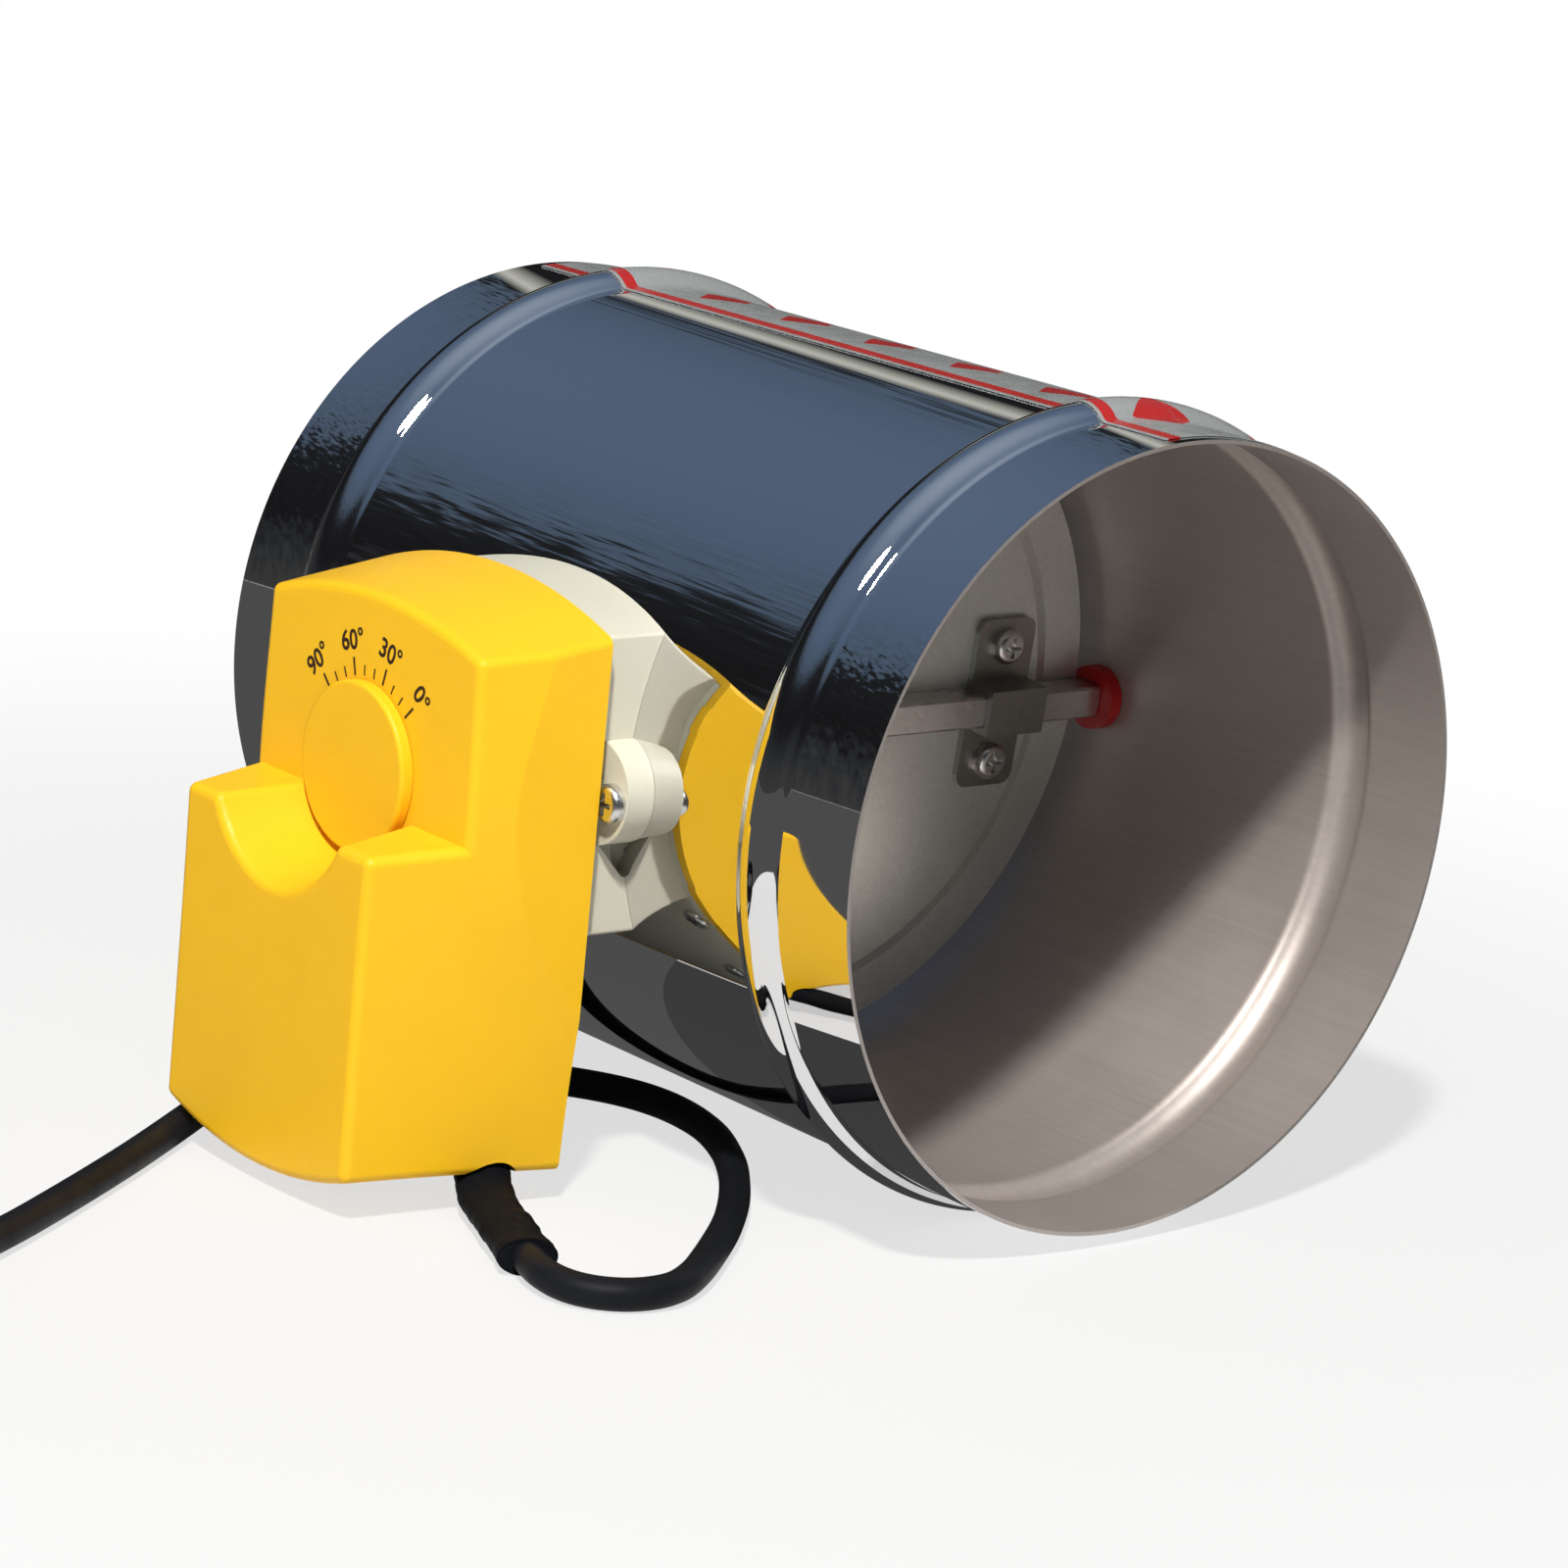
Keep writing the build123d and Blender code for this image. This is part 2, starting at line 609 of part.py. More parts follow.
def board_boss_places():
    return [(x, z) for x in (BOARD_X[0] + BOARD_BOSS_INSET, BOARD_X[1] - BOARD_BOSS_INSET)
            for z in (BOARD_Z[0] + BOARD_BOSS_INSET, BOARD_Z[1] - BOARD_BOSS_INSET)]


def make_base_plate():
    slab = block((-2 * COVER_HALF_BACK, 2 * COVER_HALF_BACK), (cover_back_y, base_front_y),
                 (2 * LOW_CROWN_BACK, 2 * TOP_CROWN_BACK))
    plate = cover_form(COVER_WALL + FIT_GAP) & slab
    for x in (-COLUMN_X, COLUMN_X):
        plate += y_rod(COLUMN_R, base_front_y, switch_plate_y, x, COLUMN_Z)
        plate -= y_rod(M3_R, switch_plate_y + COLUMN_HOLE, switch_plate_y - CUT_OVER, x, COLUMN_Z)
    for x, z in board_boss_places():
        plate += y_rod(BOARD_BOSS_R, base_front_y, base_front_y - BOARD_STANDOFF, x, z)
    hole_span = (cover_back_y + CUT_OVER, base_front_y - CUT_OVER)
    plate -= y_rod(JOURNAL_R + SHAFT_ROOM, *hole_span)
    for x, z in mirrored_x(COVER_SCREWS) + mirrored_x(ADAPTER_SCREWS):
        plate -= y_rod(M3_R + HOLE_GAP, *hole_span, x, z)
    return plate - y_rod(CLAMP_SCREW_R + HOLE_GAP, *hole_span, *CLAMP_SCREW)


def make_adapter_screws():
    screw = pan_screw(M3_HEAD_R, M3_HEAD_TALL, M3_R, BASE_THICK + ADAPTER_SCREW_GRIP)
    places = mirrored_x(ADAPTER_SCREWS)
    return total(screw_towards((0, -1, 0), (x, base_front_y, z), screw) for x, z in places)


def make_cover_screws():
    screw = pan_screw(M3_HEAD_R, M3_HEAD_TALL, M3_R, BASE_THICK + COVER_SCREW_GRIP)
    places = mirrored_x(COVER_SCREWS)
    return total(screw_towards((0, 1, 0), (x, cover_back_y, z), screw) for x, z in places)


# Gear train

def gear_outline(teeth, first_tooth_deg):
    """Involute gear outline of the common module, thinned at the pitch circle by the backlash."""
    pitch_r = MODULE * teeth / 2
    base_r = pitch_r * math.cos(math.radians(20))
    tip_r, root_r = pitch_r + MODULE, pitch_r - 1.25 * MODULE
    involute = lambda r: math.tan(math.acos(base_r / r)) - math.acos(base_r / r)
    half_pitch = (math.pi * MODULE / 2 - BACKLASH) / (2 * pitch_r)
    start_r = max(base_r, root_r)
    radii = [start_r + (tip_r - start_r) * share for share in (0.0, 0.3, 0.65, 1.0)]
    flank = [(r, half_pitch + involute(pitch_r) - involute(r)) for r in radii]
    flank = [(root_r, flank[0][1])] + flank if start_r > root_r else flank
    tooth = [(r, -a) for r, a in flank] + [(r, a) for r, a in reversed(flank)]
    points = []
    for n in range(teeth):
        middle = math.radians(first_tooth_deg) + 2 * math.pi * n / teeth
        points += [(r * math.cos(middle + a), r * math.sin(middle + a)) for r, a in tooth]
    return make_face(Polyline(*points, close=True))


def make_output_gear():
    gear = y_prism(gear_outline(GEAR_TEETH, -90), gear_back_y, gear_front_y)
    hollow = Circle(GEAR_WEB_R[1]) - Circle(GEAR_WEB_R[0])
    gear -= y_prism(hollow, gear_front_y + GEAR_WEB_STEP, gear_front_y)
    gear -= y_prism(hollow, gear_back_y, gear_back_y - GEAR_WEB_STEP)
    gear += y_rod(GEAR_HUB_R, base_front_y - THRUST_GAP, gear_hub_front_y)
    bore = Rot(0, 0, -REST_DEG) * shaft_section(RUN_GAP)
    return gear - y_prism(bore, base_front_y + CUT_OVER, gear_hub_front_y - CUT_OVER)


def make_gear_clip():
    ring = Circle(CLIP_R) - Pos(-CLIP_R, 0) * Rectangle(2 * CLIP_R, CLIP_SLOT)
    clip = y_prism(ring - shaft_section(RUN_GAP), gear_hub_front_y, gear_hub_front_y - CLIP_THICK)
    return turned(clip)


def make_limit_cam():
    lobe_half = math.radians(CAM_LOBE_SPAN / 2)
    tip = Vector(CAM_LOBE_R, 0)
    side = Vector(CAM_LOBE_R * math.cos(lobe_half), CAM_LOBE_R * math.sin(lobe_half))
    foot = Vector(0, CAM_R)
    lobe = make_face([
        ThreePointArc(Vector(side.X, -side.Y), tip, side),
        Line(side, foot),
        Line(foot, -foot),
        Line(-foot, Vector(side.X, -side.Y)),
    ])
    outline = Circle(CAM_R) + Rot(0, 0, CAM_LOBE_DEG) * lobe
    cam_back_y = switch_back_y - (SWITCH_SIZE[1] - CAM_THICK) / 2
    bore = Rot(0, 0, -REST_DEG) * shaft_section(RUN_GAP)
    return y_prism(outline - bore, cam_back_y, cam_back_y - CAM_THICK)


def make_motor_pinion():
    outline = gear_outline(PINION_TEETH, 90 + 180 / PINION_TEETH) - Circle(MOTOR_SHAFT_R)
    return y_prism(Pos(0, -centre_distance) * outline, gear_back_y, gear_front_y)


def make_motor_shaft():
    return y_rod(MOTOR_SHAFT_R, gear_back_y, motor_back_y - MOTOR_SHAFT_GRIP, 0, -centre_distance)


# Motor, its plate, and the switches

def make_geared_motor():
    can = y_rod(MOTOR_R, motor_back_y, motor_back_y - MOTOR_LENGTH, 0, MOTOR_Z)
    can = fillet(can.faces().sort_by(Axis.Y)[0].edges(), MOTOR_EDGE_R)
    groove = Circle(MOTOR_R + CUT_OVER) - Circle(MOTOR_R - MOTOR_GROOVE_DEPTH)
    groove_y = motor_back_y - MOTOR_GROOVE_AT
    can -= y_prism(Pos(0, MOTOR_Z) * groove, groove_y, groove_y - MOTOR_GROOVE_WIDTH)
    boss_front = motor_plate_y + MOTOR_BOSS_TALL
    can += y_rod(MOTOR_BOSS_R, boss_front, motor_back_y, 0, -centre_distance)
    bore_end = motor_back_y - MOTOR_SHAFT_GRIP - THRUST_GAP
    return can - y_rod(MOTOR_SHAFT_R + RUN_GAP, boss_front + CUT_OVER, bore_end, 0, -centre_distance)


def make_motor_plate():
    corners = [Pos(x, z) * Circle(PILLAR_R + PLATE_MARGIN) for x, z in PILLARS]
    outline = make_hull((Sketch() + corners).edges())
    plate = y_prism(outline, motor_plate_y, motor_back_y)
    hole_span = (motor_plate_y + CUT_OVER, motor_back_y - CUT_OVER)
    plate -= y_rod(MOTOR_BOSS_R + HOLE_GAP, *hole_span, 0, -centre_distance)
    for x, z in PILLARS:
        plate -= y_rod(M3_R + HOLE_GAP, *hole_span, x, z)
    return plate


def make_plate_pillars():
    pillar = y_rod(PILLAR_R, base_front_y, motor_plate_y)
    pillar -= y_rod(M3_R + RUN_GAP, motor_plate_y + PILLAR_HOLE, motor_plate_y - CUT_OVER)
    return total(Pos(x, 0, z) * pillar for x, z in PILLARS)


def make_pillar_screws():
    screw = pan_screw(PILLAR_R, M3_HEAD_TALL, M3_R, MOTOR_PLATE_THICK + PILLAR_SCREW_GRIP)
    return total(screw_towards((0, -1, 0), (x, motor_back_y, z), screw) for x, z in PILLARS)


def make_switch_plate():
    reach_x, low_z, side_z = COLUMN_X + COLUMN_R, COLUMN_Z - COLUMN_R, COLUMN_Z + COLUMN_R
    top_x, top_z = SWITCH_PLATE_TOP
    outline = Polyline((-reach_x, low_z), (-reach_x, side_z), (-top_x, top_z), (top_x, top_z),
                       (reach_x, side_z), (reach_x, low_z), close=True)
    plate = y_prism(make_face(outline) - Circle(CAM_LOBE_R + CAM_ROOM), switch_plate_y, switch_back_y)
    hole_span = (switch_plate_y + CUT_OVER, switch_back_y - CUT_OVER)
    for side in (-1, 1):
        plate -= y_rod(M3_R + HOLE_GAP, *hole_span, side * COLUMN_X, COLUMN_Z)
    return plate


def make_switch_plate_screws():
    screw = pan_screw(M3_HEAD_R, M3_HEAD_TALL, M3_R - RUN_GAP, SWITCH_PLATE_THICK + SWITCH_SCREW_GRIP)
    places = [(side * COLUMN_X, COLUMN_Z) for side in (-1, 1)]
    return total(screw_towards((0, -1, 0), (x, switch_back_y, z), screw) for x, z in places)


def make_limit_switch(lean_deg):
    """Snap switch whose button points at the cam, leaning by the given angle from upright."""
    long, deep, tall = SWITCH_SIZE
    low_z = SWITCH_TIP_R + SWITCH_BUTTON_LENGTH
    body = block((-long / 2, long / 2), (switch_back_y, switch_back_y - deep), (low_z, low_z + tall))
    body = chamfer(body.edges().filter_by(Axis.Y), SWITCH_CORNER)
    middle_y = switch_back_y - deep / 2
    button = Pos(0, middle_y, low_z - SWITCH_BUTTON_LENGTH / 2) * Cylinder(
        SWITCH_BUTTON_R, SWITCH_BUTTON_LENGTH)
    hole_span = (switch_back_y + CUT_OVER, switch_back_y - deep - CUT_OVER)
    for x in (-SWITCH_HOLE_X, SWITCH_HOLE_X):
        body -= y_rod(SWITCH_HOLE_R, *hole_span, x, low_z + 0.3 * tall)
    tab = Box(*SWITCH_TAB, align=(Align.CENTER, Align.CENTER, Align.MIN))
    tabs = [Pos(x, middle_y, low_z + tall) * tab for x in SWITCH_TABS_X]
    return Rot(Y=lean_deg) * (body + button + total(tabs))


# Board, terminals and cable

def make_circuit_board():
    back_y = base_front_y - BOARD_STANDOFF
    board = block(BOARD_X, (back_y, back_y - BOARD_THICK), BOARD_Z)
    return chamfer(board.edges().filter_by(Axis.Y), BOARD_CORNER)


def make_terminal_block():
    back_y = base_front_y - BOARD_STANDOFF - BOARD_THICK
    front_y, low_z = back_y - TERMINAL_TALL, TERMINAL_Z[0]
    body = block(TERMINAL_X, (back_y, front_y), TERMINAL_Z)
    wide, tall, deep = TERMINAL_MOUTH
    mouth_y = back_y - TERMINAL_MOUTH_RISE
    screw_z = low_z + TERMINAL_SCREW_RISE
    pitch = (TERMINAL_X[1] - TERMINAL_X[0]) / TERMINAL_WAYS
    for n in range(TERMINAL_WAYS):
        x = TERMINAL_X[0] + (n + 0.5) * pitch
        body -= y_rod(TERMINAL_SCREW_R, (back_y + front_y) / 2, front_y - CUT_OVER, x, screw_z)
        mouth = ((x - wide / 2, x + wide / 2), (mouth_y, mouth_y - tall), (low_z - CUT_OVER, low_z + deep))
        body -= block(*mouth)
    return body


def from_cover(point, z):
    """A place of the cable, counted across the duct from the cover's back rim."""
    return Vector(point[0], cover_back_y + point[1], z)


def sleeve_path():
    start = from_cover(SLEEVE_START, SLEEVE_START_Z)
    return FilletPolyline(start, from_cover(SLEEVE_BEND, sleeve_z), from_cover(SLEEVE_END, sleeve_z),
                          radius=SLEEVE_BEND_R)


def sleeve_form(grow):
    """The wrapped sleeve's flat oval form along its path, or the room for it when grown."""
    path = sleeve_path()
    along = path % 0
    across = Vector(0, 0, 1).cross(along).normalized()
    start = Plane(origin=path @ 0, x_dir=across, z_dir=along)
    return sweep(start * Ellipse(SLEEVE_HALF_WIDTH + grow, SLEEVE_HALF_THICK + grow), path)


def make_cable_clamp():
    x, z = CLAMP_SCREW
    clamp = block(CLAMP_X, (base_front_y, base_front_y - CLAMP_DEPTH), CLAMP_Z) - sleeve_form(FIT_GAP)
    screw_end = base_front_y - CLAMP_SCREW_GRIP - RUN_GAP
    return clamp - y_rod(CLAMP_SCREW_R, base_front_y + CUT_OVER, screw_end, x, z)


def make_clamp_screw():
    screw = pan_screw(M3_HEAD_R, M3_HEAD_TALL, CLAMP_SCREW_R, BASE_THICK + CLAMP_SCREW_GRIP)
    x, z = CLAMP_SCREW
    return screw_towards((0, 1, 0), (x, cover_back_y, z), screw)


def route_points():
    """The cable's route: straight out of the sleeve, then along the floor to its coil."""
    start = from_cover(SLEEVE_END, sleeve_z)
    nose = start + (start - from_cover(SLEEVE_BEND, sleeve_z)).normalized() * SLEEVE_NOSE
    return [start, nose] + [from_cover(point, cable_z) for point in CABLE_ROUTE + (COIL_ENTRY,)]


def bend_radii(points):
    """The largest arc that each corner's two runs leave room for."""
    radii = []
    for before, corner, after in zip(points, points[1:], points[2:]):
        run_in, run_out = corner - before, after - corner
        half_turn = math.radians(run_in.get_angle(run_out)) / 2
        radii.append(0.45 * min(run_in.length, run_out.length) / math.tan(half_turn))
    return radii


def make_cable_tube():
    points = route_points()
    radii = bend_radii(points)
    print("cable bend radii", [round(r) for r in radii])
    path = FilletPolyline(*points, radius=radii)
    tube = sweep(Plane(origin=path @ 0, z_dir=path % 0) * Circle(CABLE_R), path)
    print("cable tube length", round(path.length, 1), "volume ratio",
          round(tube.volume / (math.pi * CABLE_R**2 * path.length), 4))
    return tube


def coil_centre():
    """Centre of the put-away coil, to the right of the cable where it arrives."""
    before, entry = route_points()[-2:]
    along = (entry - before).normalized()
    return entry + Vector(along.Y, -along.X) * (COIL_MID_R + CABLE_R)


def coil_ring(half_width, low_z, tall, span_deg):
    section = Plane.XZ * (Pos(COIL_MID_R, low_z + tall / 2) * Rectangle(2 * half_width, tall))
    return Rot(Z=COIL_END_DEG) * revolve(section, Axis.Z, span_deg)


def make_cable_coil():
    low_z = floor_z + COIL_LIFT
    layer = 2 * CABLE_R
    ring = coil_ring(layer, low_z, layer, 360) + coil_ring(CABLE_R, low_z + layer, layer, COIL_TOP_SPAN)
    return Pos(coil_centre().X, coil_centre().Y, 0) * ring


def make_coil_tie():
    tall, wide = 4 * CABLE_R, 4 * CABLE_R
    inner = Rectangle(wide + 2 * FIT_GAP, tall + 2 * FIT_GAP)
    outer = Rectangle(wide + 2 * (FIT_GAP + TIE_THICK), tall + 2 * (FIT_GAP + TIE_THICK))
    band = extrude(Plane.XZ * (outer - inner), TIE_WIDTH / 2, both=True)
    place = Pos(coil_centre().X, coil_centre().Y, floor_z + COIL_LIFT + tall / 2)
    return place * Rot(Z=TIE_DEG) * Pos(COIL_MID_R, 0, 0) * band


def make_core_wires():
    """Bared cores that lie on the coil, past the end of the cable's top turn."""
    rest_z = floor_z + COIL_LIFT + 2 * CABLE_R + CORE_R + RUN_GAP
    core = extrude(Plane.XZ * Circle(CORE_R), CORE_LENGTH)
    cores = [Pos(COIL_MID_R + 2.2 * CORE_R * n, -RUN_GAP, rest_z) * core for n in (-1, 0, 1)]
    return Pos(coil_centre().X, coil_centre().Y, 0) * Rot(Z=COIL_END_DEG) * total(cores)


NODES = {
    "duct_shell": make_duct_shell(),
    "film_strip": make_film_strip(),
    "far_bush": make_far_bush(),
    "near_bush": make_near_bush(),
    "shaft": make_shaft(),
    "blade_disc": make_blade_disc(),
    "near_strap": make_strap(-strap_y),
    "far_strap": make_strap(strap_y),
    "strap_screws": make_strap_screws(),
    "strap_nuts": make_strap_nuts(),
    "saddle_flange": make_saddle_flange(),
    "saddle_screws": make_saddle_screws(),
    "adapter_flange": make_adapter_flange(),
    "flange_screws": make_flange_screws(),
    "actuator_cover": make_actuator_cover(),
    "knob": make_knob(),
    "base_plate": make_base_plate(),
    "adapter_screws": make_adapter_screws(),
    "cover_screws": make_cover_screws(),
    "output_gear": make_output_gear(),
    "gear_clip": make_gear_clip(),
    "limit_cam": make_limit_cam(),
    "motor_pinion": make_motor_pinion(),
    "motor_shaft": make_motor_shaft(),
    "geared_motor": make_geared_motor(),
    "motor_plate": make_motor_plate(),
    "plate_pillars": make_plate_pillars(),
    "pillar_screws": make_pillar_screws(),
    "switch_plate": make_switch_plate(),
    "switch_plate_screws": make_switch_plate_screws(),
    "left_limit_switch": make_limit_switch(-45),
    "right_limit_switch": make_limit_switch(45),
    "circuit_board": make_circuit_board(),
    "terminal_block": make_terminal_block(),
    "cable_clamp": make_cable_clamp(),
    "clamp_screw": make_clamp_screw(),
    "cable_sleeve": sleeve_form(0),
    "cable_tube": make_cable_tube(),
    "cable_coil": make_cable_coil(),
    "coil_tie": make_coil_tie(),
    "core_wires": make_core_wires(),
}

os.makedirs("parts", exist_ok=True)
to_back_mouth = Pos(DUCT_LENGTH / 2, 0, 0)
for name, solid in NODES.items():
    export_step(to_back_mouth * solid, f"parts/{name}.step")
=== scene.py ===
import bpy
import json
import math
from mathutils import Euler, Matrix, Vector


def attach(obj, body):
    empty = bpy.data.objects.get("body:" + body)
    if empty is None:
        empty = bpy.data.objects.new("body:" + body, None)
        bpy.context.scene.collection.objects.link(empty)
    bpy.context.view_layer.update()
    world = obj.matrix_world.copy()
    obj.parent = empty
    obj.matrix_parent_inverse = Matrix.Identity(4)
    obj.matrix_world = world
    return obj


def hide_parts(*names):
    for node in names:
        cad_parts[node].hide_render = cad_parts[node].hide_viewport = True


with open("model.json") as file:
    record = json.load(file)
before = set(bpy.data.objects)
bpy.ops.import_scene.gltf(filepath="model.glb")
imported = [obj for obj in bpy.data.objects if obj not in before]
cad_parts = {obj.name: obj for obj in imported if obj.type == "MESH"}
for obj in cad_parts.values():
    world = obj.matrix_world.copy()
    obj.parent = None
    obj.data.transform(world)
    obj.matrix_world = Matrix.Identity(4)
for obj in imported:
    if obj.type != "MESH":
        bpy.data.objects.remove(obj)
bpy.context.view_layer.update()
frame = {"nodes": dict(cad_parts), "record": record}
nodes = frame["nodes"]
scene = bpy.context.scene
scene.view_settings.view_transform = "Standard"

MM = 0.001
SHAFT_X = 102.0          # the damper shaft's place along the duct, in millimetres
FLOOR_Z = -83.0


def row(x, y, z):
    """A point about the damper shaft, in millimetres, as a point of the shared frame in metres."""
    return Vector(((x + SHAFT_X) * MM, y * MM, z * MM))


# Camera at the photograph's viewing angle

CAMERA_LENS = 118.92
CAMERA_PLACE = (0.89522, -0.69835, 0.24144)
CAMERA_TURN_DEG = (76.3393, -5.4691, 50.3652)

camera_data = bpy.data.cameras.new("photo_camera")
camera_data.lens = CAMERA_LENS
camera_data.sensor_width = 36.0
camera_data.clip_end = 50.0
camera = bpy.data.objects.new("photo_camera", camera_data)
scene.collection.objects.link(camera)
camera.location = CAMERA_PLACE
camera.rotation_euler = Euler([math.radians(a) for a in CAMERA_TURN_DEG], "XYZ")
scene.camera = camera


# Shader groups that the finishes share

def new_group(name, inputs, outputs):
    group = bpy.data.node_groups.new(name, "ShaderNodeTree")
    for label, kind, value in inputs:
        socket = group.interface.new_socket(label, in_out="INPUT", socket_type=kind)
        socket.default_value = value
    for label, kind in outputs:
        group.interface.new_socket(label, in_out="OUTPUT", socket_type=kind)
    return group, group.nodes.new("NodeGroupInput"), group.nodes.new("NodeGroupOutput")


def link(tree, source, target):
    tree.links.new(source, target)


def math_node(tree, operation, first, second=None):
    node = tree.nodes.new("ShaderNodeMath")
    node.operation = operation
    for socket, value in zip(node.inputs, (first, second)):
        if value is None:
            continue
        if isinstance(value, (int, float)):
            socket.default_value = value
        else:
            link(tree, value, socket)
    return node.outputs[0]


def noise_node(tree, vector, scale, detail=3.0, rough=0.5):
    node = tree.nodes.new("ShaderNodeTexNoise")
    node.inputs["Detail"].default_value = detail
    node.inputs["Roughness"].default_value = rough
    if isinstance(scale, (int, float)):
        node.inputs["Scale"].default_value = scale
    else:
        link(tree, scale, node.inputs["Scale"])
    link(tree, vector, node.inputs["Vector"])
    return node.outputs["Fac"]


def spread(tree, value, low, high, to_low, to_high):
    node = tree.nodes.new("ShaderNodeMapRange")
    link(tree, value, node.inputs["Value"])
    for label, amount in zip(("From Min", "From Max", "To Min", "To Max"), (low, high, to_low, to_high)):
        if isinstance(amount, (int, float)):
            node.inputs[label].default_value = amount
        else:
            link(tree, amount, node.inputs[label])
    return node.outputs["Result"]


def shade_colour(tree, colour, factor):
    """A colour made lighter or darker by a factor around one."""
    node = tree.nodes.new("ShaderNodeVectorMath")
    node.operation = "SCALE"
    link(tree, colour, node.inputs[0])
    link(tree, factor, node.inputs["Scale"])
    return node.outputs["Vector"]


def make_moulded_group():
    """Moulded plastic: slight colour drift, scuffs in the gloss and a fine spark-eroded grain."""
    group, given, result = new_group(
        "moulded_surface",
        [("Colour", "NodeSocketColor", (0.8, 0.8, 0.8, 1)), ("Drift", "NodeSocketFloat", 0.06),
         ("Gloss", "NodeSocketFloat", 0.45), ("Grain Scale", "NodeSocketFloat", 1800.0),
         ("Grain Height", "NodeSocketFloat", 0.15)],
        [("Colour", "NodeSocketColor"), ("Roughness", "NodeSocketFloat"), ("Normal", "NodeSocketVector")])
    place = group.nodes.new("ShaderNodeTexCoord").outputs["Object"]
    broad = noise_node(group, place, 28.0, 4.0)
    low = math_node(group, "SUBTRACT", 1.0, given.outputs["Drift"])
    high = math_node(group, "ADD", 1.0, given.outputs["Drift"])
    factor = spread(group, broad, 0.3, 0.7, low, high)
    link(group, shade_colour(group, given.outputs["Colour"], factor), result.inputs["Colour"])
    scuffs = noise_node(group, place, 160.0, 5.0, 0.65)
    dull = math_node(group, "ADD", given.outputs["Gloss"], spread(group, scuffs, 0.35, 0.75, -0.07, 0.1))
    link(group, dull, result.inputs["Roughness"])
    bump = group.nodes.new("ShaderNodeBump")
    bump.inputs["Distance"].default_value = 0.00006
    link(group, given.outputs["Grain Height"], bump.inputs["Strength"])
    link(group, noise_node(group, place, given.outputs["Grain Scale"], 2.0), bump.inputs["Height"])
    link(group, bump.outputs["Normal"], result.inputs["Normal"])
    return group


def make_metal_group():
    """Worked metal: rolling streaks along X, smears in the polish and slight waviness of the sheet."""
    group, given, result = new_group(
        "worked_metal",
        [("Colour", "NodeSocketColor", (0.7, 0.7, 0.7, 1)), ("Polish", "NodeSocketFloat", 0.2),
         ("Smear", "NodeSocketFloat", 0.05), ("Streak Height", "NodeSocketFloat", 0.1),
         ("Streak Tint", "NodeSocketFloat", 0.05), ("Wave Height", "NodeSocketFloat", 0.0)],
        [("Colour", "NodeSocketColor"), ("Roughness", "NodeSocketFloat"), ("Normal", "NodeSocketVector")])
    place = group.nodes.new("ShaderNodeTexCoord").outputs["Object"]
    stretch = group.nodes.new("ShaderNodeMapping")
    stretch.inputs["Scale"].default_value = (14.0, 900.0, 900.0)
    link(group, place, stretch.inputs["Vector"])
    streaks = noise_node(group, stretch.outputs["Vector"], 1.0, 3.0)
    smears = noise_node(group, place, 45.0, 5.0, 0.6)
    tint = spread(group, streaks, 0.3, 0.7, math_node(group, "SUBTRACT", 1.0, given.outputs["Streak Tint"]),
                  math_node(group, "ADD", 1.0, given.outputs["Streak Tint"]))
    link(group, shade_colour(group, given.outputs["Colour"], tint), result.inputs["Colour"])
    smear = math_node(group, "MULTIPLY", given.outputs["Smear"], spread(group, smears, 0.35, 0.75, 0.0, 1.0))
    link(group, math_node(group, "ADD", given.outputs["Polish"], smear), result.inputs["Roughness"])
    fine = group.nodes.new("ShaderNodeBump")
    fine.inputs["Distance"].default_value = 0.00004
    link(group, given.outputs["Streak Height"], fine.inputs["Strength"])
    link(group, streaks, fine.inputs["Height"])
    wave = group.nodes.new("ShaderNodeBump")
    wave.inputs["Distance"].default_value = 0.0006
    link(group, given.outputs["Wave Height"], wave.inputs["Strength"])
    link(group, noise_node(group, place, 24.0, 1.0), wave.inputs["Height"])
    link(group, fine.outputs["Normal"], wave.inputs["Normal"])
    link(group, wave.outputs["Normal"], result.inputs["Normal"])
    return group


moulded_surface = make_moulded_group()
worked_metal = make_metal_group()


def finish(name, group, metallic, values, **sockets):
    """A material whose colour, roughness and normal come from one of the shared groups."""
    material = bpy.data.materials.new(name)
    material.use_nodes = True
    tree = material.node_tree
    shader = tree.nodes["Principled BSDF"]
    surface = tree.nodes.new("ShaderNodeGroup")
    surface.node_tree = group
    for label, value in values.items():
        surface.inputs[label].default_value = value
    link(tree, surface.outputs["Colour"], shader.inputs["Base Color"])
    link(tree, surface.outputs["Roughness"], shader.inputs["Roughness"])
    link(tree, surface.outputs["Normal"], shader.inputs["Normal"])
    shader.inputs["Metallic"].default_value = metallic
    for label, value in sockets.items():
        shader.inputs[label].default_value = value
    return material


def plastic(name, colour, gloss, drift=0.04, grain=1800.0, height=0.15, shine=0.5):
    return finish(name, moulded_surface, 0.0, {
        "Colour": (*colour, 1), "Gloss": gloss, "Drift": drift, "Grain Scale": grain, "Grain Height": height},
        **{"Specular IOR Level": shine})


def metal(name, colour, polish, smear, streak, wave=0.0, tint=0.05, metallic=1.0):
    return finish(name, worked_metal, metallic, {
        "Colour": (*colour, 1), "Polish": polish, "Smear": smear, "Streak Height": streak,
        "Wave Height": wave, "Streak Tint": tint})


